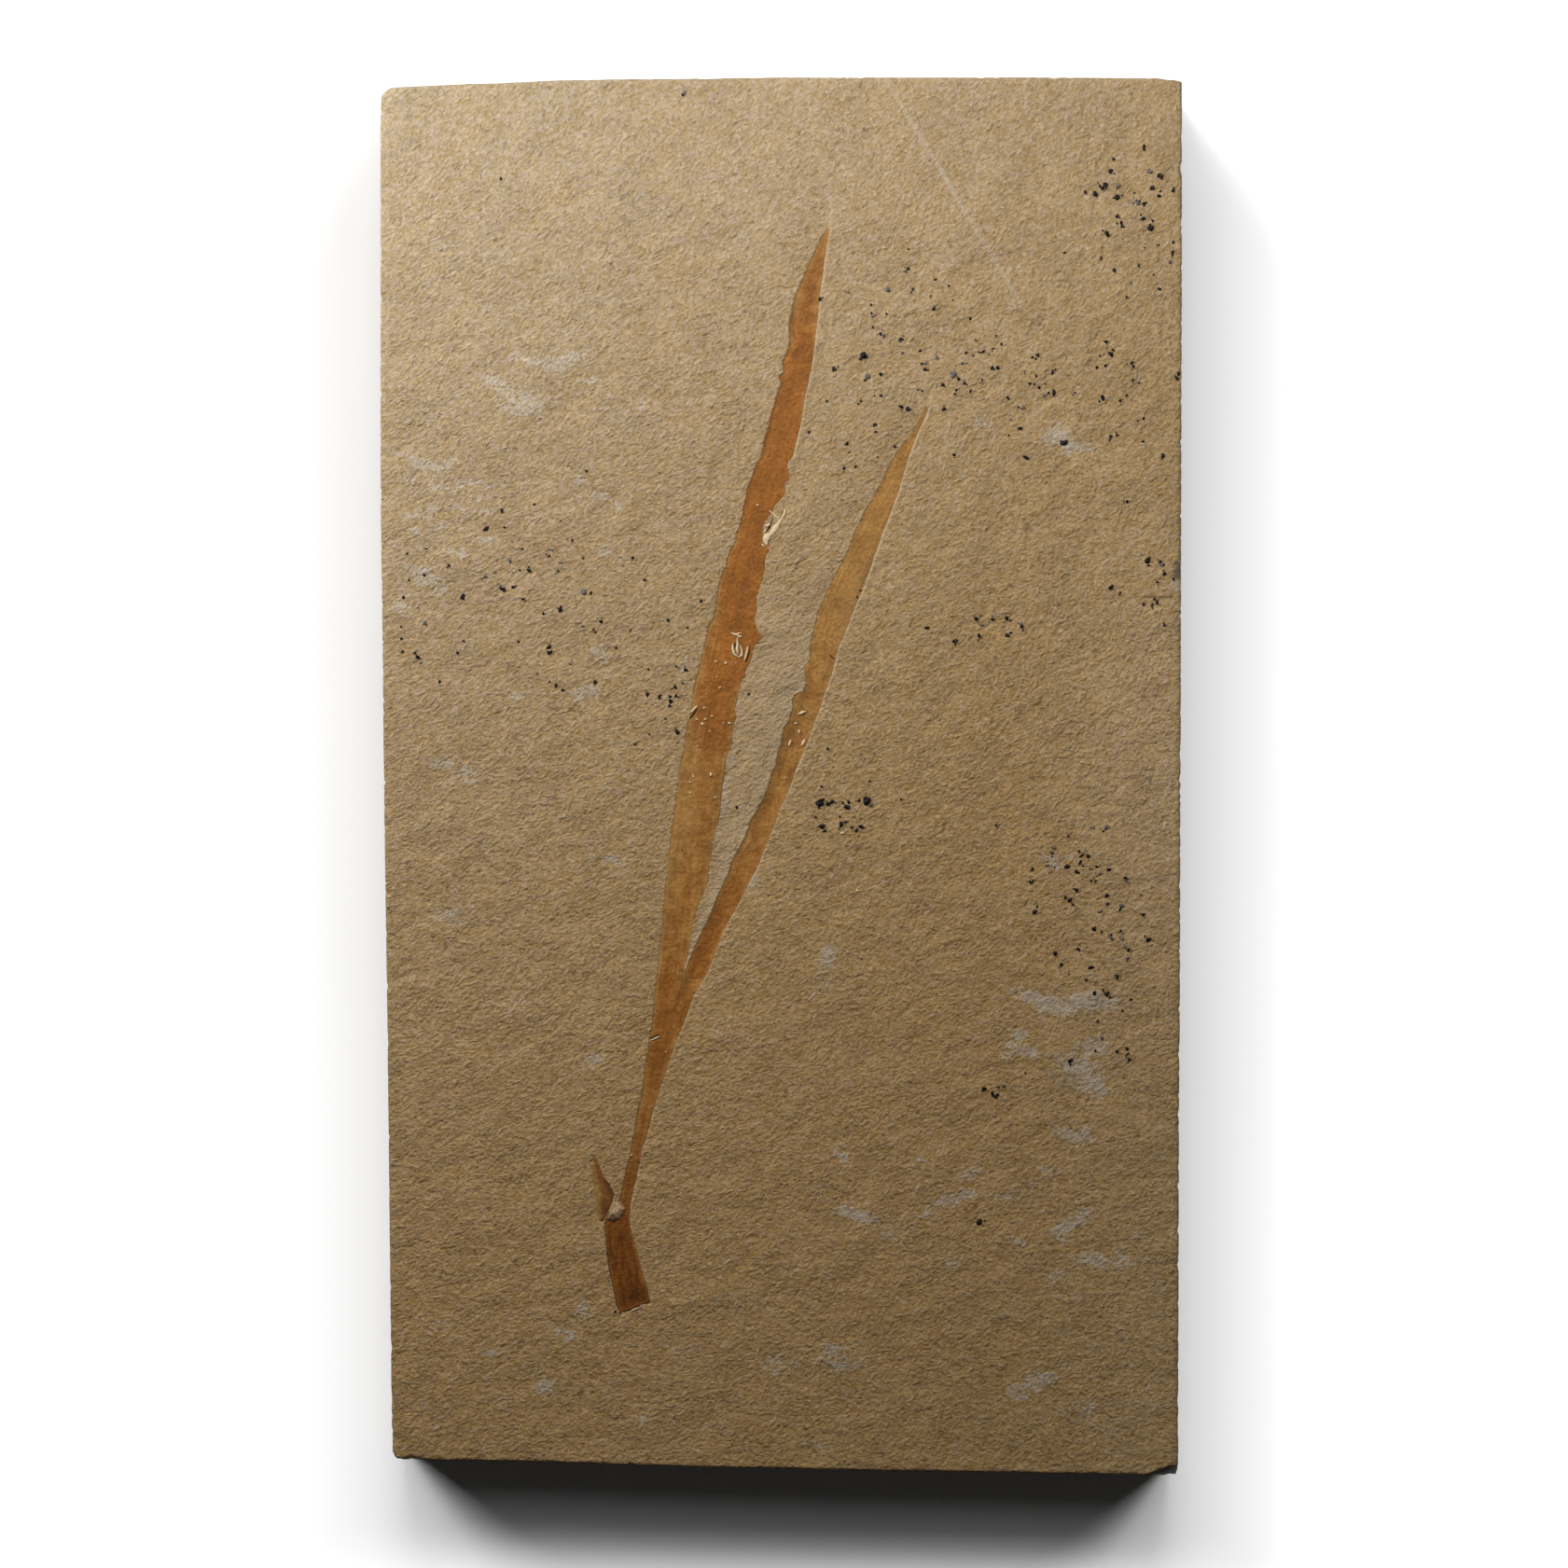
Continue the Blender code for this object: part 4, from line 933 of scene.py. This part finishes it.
def stone_look():
    """Buff limestone: a slow change from pale to ochre across the plate, faint mottling, painted shade in
    the low places of the grain and painted highlight on its crests, chalky smears, dark and pale marks by
    the leaf that are partly painted shade and painted highlight, pale painted highlight on lit walls at the
    margins, painted shade on the chipped lower corners, and sawn sides with level beds. The relief adds a
    rough grain, thin broken flakes with crisp edges, and small pits."""
    look = Look("limestone", 0.75, 0.5)
    axes = look.node("ShaderNodeSeparateXYZ", {"Vector": look.place}).outputs
    slope = look.calc("MULTIPLY_ADD", axes["X"], 2.0, look.calc("MULTIPLY", axes["Y"], -2.6))
    colour = look.mix(look.band(slope, -0.75, 0.25), PALE_BUFF, OCHRE)
    rim = look.calc("MINIMUM", look.band(axes["Y"], -0.08, 0.0, 0.35, 0.85),
                    look.band(axes["Y"], 0.0, 0.11, 0.85, 0.0))
    rim = look.calc("MULTIPLY", rim, look.band(axes["X"], 0.055, 0.1))
    colour = look.mix(rim, colour, WARM_RIM)
    mottle = look.noise(0.02, 2, 0.6)
    colour = look.mix(look.band(mottle, 0.3, 0.75, 0.0, 0.3), colour, BROWN_MOTTLE)
    steep = look.calc("MULTIPLY_ADD", axes["Y"], 0.92, look.calc("MULTIPLY_ADD", axes["X"], -0.42, 0.33))
    rise = look.calc("SUBTRACT", axes["Y"], look.calc("MULTIPLY", steep, axes["X"]))
    combed = look.node("ShaderNodeCombineXYZ", {"X": look.calc("MULTIPLY", axes["X"], 0.9), "Y": rise,
                       "Z": axes["Z"]}).outputs[0]
    rough = look.noise(0.0017, 6, 0.74, where=combed)
    flakes = look.band(look.noise(0.0036, 3, 0.6, where=combed, bend=0.4), 0.45, 0.55)
    pits = look.band(look.noise(0.0016, 2, 0.5, where=combed), 0.60, 0.72)
    # Painted highlight and shade that follow the relief: the grain's low places are toned darker and its
    # crests mixed towards a lit colour, and the fine noise, which is also in the bump, makes low places
    # darker and more saturated and high places paler.
    colour = look.tone(colour, look.band(rough, 0.3, 0.7, 0.90, 1.05))
    colour = look.mix(look.band(rough, 0.46, 0.70, 0.0, 0.35), colour, LIT_CRUMB)
    fine = look.noise(0.0009, 3, 0.7)
    shade = look.mix(look.band(fine, 0.3, 0.7), (0.87, 0.825, 0.65), (1.21, 1.29, 1.55))
    colour = look.mix(1.0, colour, shade, "MULTIPLY")
    # The pits are painted dark brown, as painted shade.
    colour = look.mix(look.calc("MULTIPLY", pits, 0.45), colour, PIT_SHADE_BROWN)
    patch = look.noise(0.0024, 4, 0.66, where=combed)
    shade = look.mix(look.band(patch, 0.35, 0.65), (1.01, 0.985, 0.90), (1.0, 1.015, 1.10))
    colour = look.mix(1.0, colour, shade, "MULTIPLY")
    powder = look.calc("MULTIPLY_ADD", fine, 1.0, look.calc("MULTIPLY", patch, 0.6))
    chalk = look.calc("MULTIPLY_ADD", look.stored("chalk"), 0.62, powder)
    chalk = look.calc("MULTIPLY", look.band(chalk, 0.92, 1.20, 0.0, 0.85),
                      look.band(fine, 0.36, 0.58, 0.35, 1.0))
    colour = look.mix(chalk, colour, POWDER)
    # Painted shade beside the long lobe and other darker marks, broken up by the patch noise.
    dusk = look.calc("MULTIPLY", look.stored("dusk"), look.band(patch, 0.3, 0.6))
    colour = look.mix(look.calc("MINIMUM", dusk, 0.8), colour, DUSKY)
    # Painted highlight on the stone rising to the short lobe and at the fork, with the other cream marks,
    # broken up by the patch noise.
    cream = look.calc("MULTIPLY", look.stored("cream"), look.band(patch, 0.3, 0.5))
    colour = look.mix(look.calc("MINIMUM", cream, 0.75), colour, CREAMY)
    # Painted highlight along the lit walls at the margins.
    colour = look.mix(look.stored("crisp"), colour, WALL_HIGHLIGHT)
    torn = look.calc("MULTIPLY_ADD", patch, 3.0, -1.5)
    stain = look.band(look.from_spot(1263, 612, 7, 10, torn), 0.9, 1.3, 0.75, 0.0)
    colour = look.mix(stain, colour, OLIVE_STAIN)
    stain = look.band(look.from_spot(1264, 628, 8, 7, torn), 0.8, 1.3, 0.7, 0.0)
    colour = look.mix(stain, colour, PALE_STAIN)
    stain = look.band(look.from_spot(1243, 640, 26, 1.3, torn), 0.6, 1.3, 0.7, 0.0)
    colour = look.mix(stain, colour, BROWN_STAIN)
    broken = look.calc("MULTIPLY_ADD", fine, 4.0, -2.0)
    # Painted shade on the chipped facets at the two lower corners, which face away from the lamps.
    for x, y, wide, tall, turn in ((1251, 1580, 27, 8.5, 14), (439, 1567, 18, 4.5, 0)):
        away = look.from_spot(x, y, wide, tall, look.calc("MULTIPLY", torn, 0.4), turn)
        stain = look.band(away, 0.85, 1.05, 0.92, 0.0)
        colour = look.mix(stain, colour, CHIP_SHADE_DARK)
    for x, y, length, turn, share in SCRATCHES:
        line = look.band(look.from_spot(x, y, length, 2.2, broken, turn), 0.6, 1.4, share, 0.0)
        colour = look.mix(line, colour, SCRATCH_PALE)
    ring = look.calc("ABSOLUTE", look.calc("SUBTRACT", look.from_spot(1042, 1295, 6, 5, torn), 0.8))
    colour = look.mix(look.band(ring, 0.15, 0.4, 0.7, 0.0), colour, RUST)
    beds = look.node("ShaderNodeMapping", {"Vector": look.place, "Scale": (0.08, 0.08, 1.0)}).outputs[0]
    bed = look.noise(0.0026, 2, 0.6, where=beds)
    flank = look.mix(look.band(bed, 0.35, 0.65), SAWN_DARK, SAWN_PALE)
    # On the sawn sides the grain's low places are toned darker too, as painted shade.
    colour = look.mix(look.stored("side"), colour, look.tone(flank, look.band(rough, 0.3, 0.7, 0.85, 1.1)))
    crumbs = look.node("ShaderNodeTexVoronoi", {"Vector": combed, "Scale": 1 / 0.0009}, feature="F1")
    height = look.calc("MULTIPLY_ADD", crumbs.outputs["Distance"], -0.16, look.calc("MULTIPLY", rough, 0.66))
    height = look.calc("MULTIPLY_ADD", flakes, 0.09, height)
    height = look.calc("MULTIPLY_ADD", fine, 0.45, look.calc("MULTIPLY_ADD", pits, -0.10, height))
    height = look.calc("MULTIPLY", height, look.band(slope, -0.75, -0.2, 0.75, 1.0))
    height = look.calc("MULTIPLY", height, look.band(look.noise(0.011, 2, 0.5), 0.35, 0.65, 0.75, 1.1))
    return look.finish(colour, look.bump(height, 0.00148))


def leaf_look():
    """The leaf's film: orange brown to golden, with streaks and fine threads that run its length,
    blotches, a fine mottling, and pale rubbed places that break up into specks. The surface is
    satin."""
    look = Look("leaf_film", 0.6, 0.25)
    threads = look.stored("threads", vector=True)
    streaks = look.noise(0.0024, 3, 0.6, where=threads, bend=0.3)
    lines = look.noise(0.0008, 3, 0.65, where=threads)
    clouds = look.noise(0.0048, 3, 0.65, bend=0.6)
    mottle = look.noise(0.0009, 3, 0.7)
    gold = look.calc("MULTIPLY_ADD", look.calc("SUBTRACT", streaks, 0.5), 0.8, look.stored("gold"))
    gold = look.calc("MULTIPLY_ADD", look.calc("SUBTRACT", clouds, 0.5), 1.3, gold)
    gold = look.band(gold, -0.2, 1.2, -0.25, 1.25)
    colour = look.mix(gold, FILM_BROWN, FILM_GOLD)
    colour = look.tone(colour, look.band(lines, 0.3, 0.7, 0.92, 1.08))
    colour = look.tone(colour, look.band(streaks, 0.3, 0.7, 0.93, 1.06))
    colour = look.tone(colour, look.band(clouds, 0.3, 0.7, 0.82, 1.14))
    colour = look.tone(colour, look.band(mottle, 0.30, 0.70, 0.80, 1.20))
    dark = look.calc("MULTIPLY", look.stored("dark"), look.band(lines, 0.2, 0.7, 0.75, 1.2))
    colour = look.mix(look.calc("MINIMUM", dark, 1.0), colour, FILM_SHADE)
    colour = look.mix(look.calc("MULTIPLY", look.stored("pale"), 0.6), colour, FILM_TAN)
    pale = look.calc("MULTIPLY_ADD", mottle, 0.6, look.calc("MULTIPLY", look.stored("pale"), 0.7))
    colour = look.mix(look.band(pale, 0.62, 0.95, 0.0, 0.8), colour, RUBBED_SPECK)
    height = look.calc("MULTIPLY_ADD", mottle, 0.9, look.calc("MULTIPLY", lines, 0.6))
    height = look.calc("MULTIPLY_ADD", clouds, 1.5, height)
    return look.finish(colour, look.bump(height, 0.00026))


def stem_look():
    """The stem's film: dark brown with black threads and an orange strip at its cut end."""
    look = Look("stem_film", 0.7, 0.12)
    threads = look.stored("threads", vector=True)
    lines = look.noise(0.0009, 4, 0.65, where=threads)
    colour = look.mix(look.band(lines, 0.35, 0.65), (0.185, 0.060, 0.011), (0.30, 0.110, 0.021))
    rim = look.calc("ABSOLUTE", look.calc("SUBTRACT", look.stored("across"), 0.5))
    colour = look.mix(look.band(rim, 0.36, 0.48, 0.0, 0.6), colour, (0.42, 0.19, 0.05))
    colour = look.mix(look.band(look.stored("down"), 0.965, 0.985), colour, (0.32, 0.13, 0.03))
    colour = look.mix(look.stored("dark"), colour, (0.07, 0.024, 0.009))
    mottle = look.noise(0.0008, 3, 0.7)
    colour = look.tone(colour, look.band(mottle, 0.32, 0.68, 0.75, 1.25))
    return look.finish(colour, look.bump(look.calc("ADD", lines, mottle), 0.00016))


def side_leaf_look():
    """The side leaf: olive yellow at its left edge, red brown at its right."""
    look = Look("side_leaf_film", 0.6, 0.3)
    threads = look.stored("threads", vector=True)
    lines = look.noise(0.001, 4, 0.65, where=threads)
    colour = look.mix(look.band(look.stored("across"), 0.2, 0.6), (0.40, 0.235, 0.072), (0.29, 0.112, 0.024))
    colour = look.tone(colour, look.band(lines, 0.3, 0.7, 0.85, 1.12))
    mottle = look.noise(0.0009, 3, 0.7)
    colour = look.tone(colour, look.band(mottle, 0.32, 0.68, 0.72, 1.28))
    colour = look.mix(look.stored("dark"), colour, (0.08, 0.028, 0.010))
    return look.finish(colour, look.bump(look.calc("ADD", lines, mottle), 0.0002))


def plain_look(name, first, second, size, roughness, specular, depth):
    """Two colours mixed by one noise, which also roughens the surface."""
    look = Look(name, roughness, specular)
    level = look.noise(size, 4, 0.6)
    colour = look.mix(look.band(level, 0.35, 0.65), first, second)
    return look, colour, look.bump(level, depth)


# The object
def grain_places(rng):
    """Every grain's x, y and radius in pixels: the single ones, then those of each field, scattered
    about its middle by a normal law and kept on the plate and off the leaf. Radii follow a skewed
    law, so that most are small and a few large."""
    places = list(SINGLE_GRAINS)
    for middle_x, middle_y, wide, tall, count, usual in GRAIN_FIELDS:
        x = middle_x + wide * rng.normal(0, 0.6, count)
        y = middle_y + tall * rng.normal(0, 0.6, count)
        radius = np.clip(usual * rng.lognormal(-0.1, 0.35, count), 1.4, 5.0)
        bare = (x > 416) & (x < 1260) & ~inside_film(x, y)
        places += list(zip(x[bare], y[bare], radius[bare]))
    return places


def small_pieces():
    """The mineral grains, the pale grains on the film, the torn slivers and the fine cracks."""
    rng = np.random.default_rng(61)
    black, grey = [], []
    for x, y, radius in grain_places(rng):
        (grey if radius > 1.6 and rng.random() < 0.2 else black).append((x, y, 0.6 + 0.72 * radius))
        if radius > 1.8:
            turn, away = rng.uniform(0, 2 * np.pi), radius * rng.uniform(0.8, 1.7)
            black.append((x + away * np.cos(turn), y + away * np.sin(turn), radius * rng.uniform(0.35, 0.6)))
    look, colour, normal = plain_look("mineral", (0.003, 0.003, 0.003), (0.020, 0.018, 0.018),
                                      0.0007, 0.5, 0.2, 1e-4)
    glint = look.band(look.noise(0.0006, 2, 0.5), 0.60, 0.68)
    mineral = look.finish(look.mix(look.calc("MULTIPLY", glint, 0.5), colour, (0.16, 0.155, 0.16)), normal)
    mesh_piece("mineral_grains", *blobs(black + FILM_SPECKS, 62), mineral, smooth=False)
    look, colour, normal = plain_look("grey_mineral", (0.06, 0.06, 0.062), (0.24, 0.22, 0.21),
                                      0.0006, 0.5, 0.4, 1e-4)
    mesh_piece("grey_grains", *blobs(grey, 64), look.finish(colour, normal), smooth=False)
    look, colour, normal = plain_look("pale_grain", (0.72, 0.56, 0.34), (0.88, 0.73, 0.49),
                                      0.0005, 0.7, 0.3, 1e-4)
    pale = look.finish(colour, normal)
    mesh_piece("pale_grains", *blobs(PALE_GRAINS, 63, around=9), pale)
    slivers = [rod([(x, y, half + 0.3) for x, y, half in path], 1.6e-4, 8e-5) for path in TEARS]
    mesh_piece("leaf_tears", *joined(slivers), pale)
    look, colour, normal = plain_look("crack", (0.035, 0.018, 0.008), (0.09, 0.045, 0.02),
                                      0.0006, 0.9, 0.1, 1e-5)
    cracks = [rod(path, 3e-5) for path in CRACKS]
    mesh_piece("fine_cracks", *joined(cracks), look.finish(colour, normal))


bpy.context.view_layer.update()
limestone_plate(stone_look())
forked_leaf(leaf_look())
strip_film("stem_film", STEM_TOP_LEFT + STEM_LEFT, STEM_RIGHT, 70, stem_look(), -0.02, 0.08, "stem")
strip_film("side_leaf_film", SIDE_LEAF_LEFT, SIDE_LEAF_RIGHT, 50, side_leaf_look(), 0.05, 0.06, "side_leaf")
look, colour, normal = plain_look("pale_crust", (0.38, 0.255, 0.135), (0.70, 0.51, 0.31),
                                  0.0006, 0.9, 0.2, 2e-4)
# The crust's dip and foot are painted darker, as painted shade.
crust_lump(look.finish(look.mix(look.stored("hollow"), colour, (0.10, 0.05, 0.022)), normal))
small_pieces()


# Floor, light and camera
def collection_of(*objects, name):
    """A collection that a lamp's light is limited to."""
    group = bpy.data.collections.new(name)
    for member in objects:
        group.objects.link(member)
    return group


def lamp(kind, name, power, colour, place, target, receivers, **settings):
    """A lamp at a place, turned to a target, that lights only the objects of one collection."""
    data = bpy.data.lights.new(name, kind)
    data.energy, data.color = power, colour
    for label, value in settings.items():
        setattr(data, label, value)
    made = bpy.data.objects.new(name, data)
    made.location = place
    made.rotation_euler = (Vector(target) - Vector(place)).to_track_quat("-Z", "Y").to_euler()
    bpy.context.scene.collection.objects.link(made)
    made.light_linking.receiver_collection = receivers
    return made


# A wide soft light behind the plate, as lamps in a row: azimuth from the top of the photo to the
# right, elevation, strength, and width, in degrees.
FLOOR_LAMPS = [(-42, 20, 3.1, 24), (42, 20, 2.2, 24), (-30, 32, 1.45, 24), (30, 32, 1.1, 24),
               (0, 32, 1.8, 24), (-5, 48, 0.5, 36)]

mesh = bpy.data.meshes.new("floor")
half = 15.0
mesh.from_pydata([(-half, -half, 0), (half, -half, 0), (half, half, 0), (-half, half, 0)], [], [(0, 1, 2, 3)])
floor = bpy.data.objects.new("floor", mesh)
bpy.context.scene.collection.objects.link(floor)
floor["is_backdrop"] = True
floor.visible_diffuse = False
floor_look = Look("floor_white", 1.0, 0.0)
mesh.materials.append(floor_look.finish((0.85, 0.85, 0.85, 1.0)))

plate_group = collection_of(*[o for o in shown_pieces() if not o.hide_render], name="lit_plate")
floor_group = collection_of(floor, name="lit_floor")
KEY_LAMPS = [("key_left", 5.0, (-0.351, 0.231, 0.200)), ("key_top", 1.88, (0.022, 0.252, 0.270))]
for label, power, place in KEY_LAMPS:
    lamp("POINT", label, power, (1.0, 0.965, 0.92), place, (0, 0, 0), plate_group, shadow_soft_size=0.05)
lamp("SUN", "fill", 0.64, (1.0, 0.93, 0.82), (0.177, 0.484, 0.384), (0, 0, 0), plate_group, angle=0.5)
for k, (azimuth, elevation, strength, wide) in enumerate(FLOOR_LAMPS):
    azimuth, elevation = np.radians(azimuth), np.radians(elevation)
    place = (np.sin(azimuth), np.cos(azimuth), np.tan(elevation))
    lamp("SUN", f"floor_light_{k + 1}", strength, (1.0, 1.0, 1.0), place, (0, 0, 0), floor_group,
         angle=np.radians(wide))

world = bpy.data.worlds.new("studio")
world.use_nodes = True
world.node_tree.nodes["Background"].inputs["Color"].default_value = (1, 1, 1, 1)
world.node_tree.nodes["Background"].inputs["Strength"].default_value = 0.02
bpy.context.scene.world = world
bpy.context.scene.view_settings.view_transform = "Standard"

camera = bpy.data.cameras.new("camera")
camera.lens, camera.sensor_width = 100.0, 36.0
view = bpy.data.objects.new("camera", camera)
view.location = (0.0006, -0.0018, 0.022 + 0.4034 * 100.0 / 36.0)
bpy.context.scene.collection.objects.link(view)
bpy.context.scene.camera = view
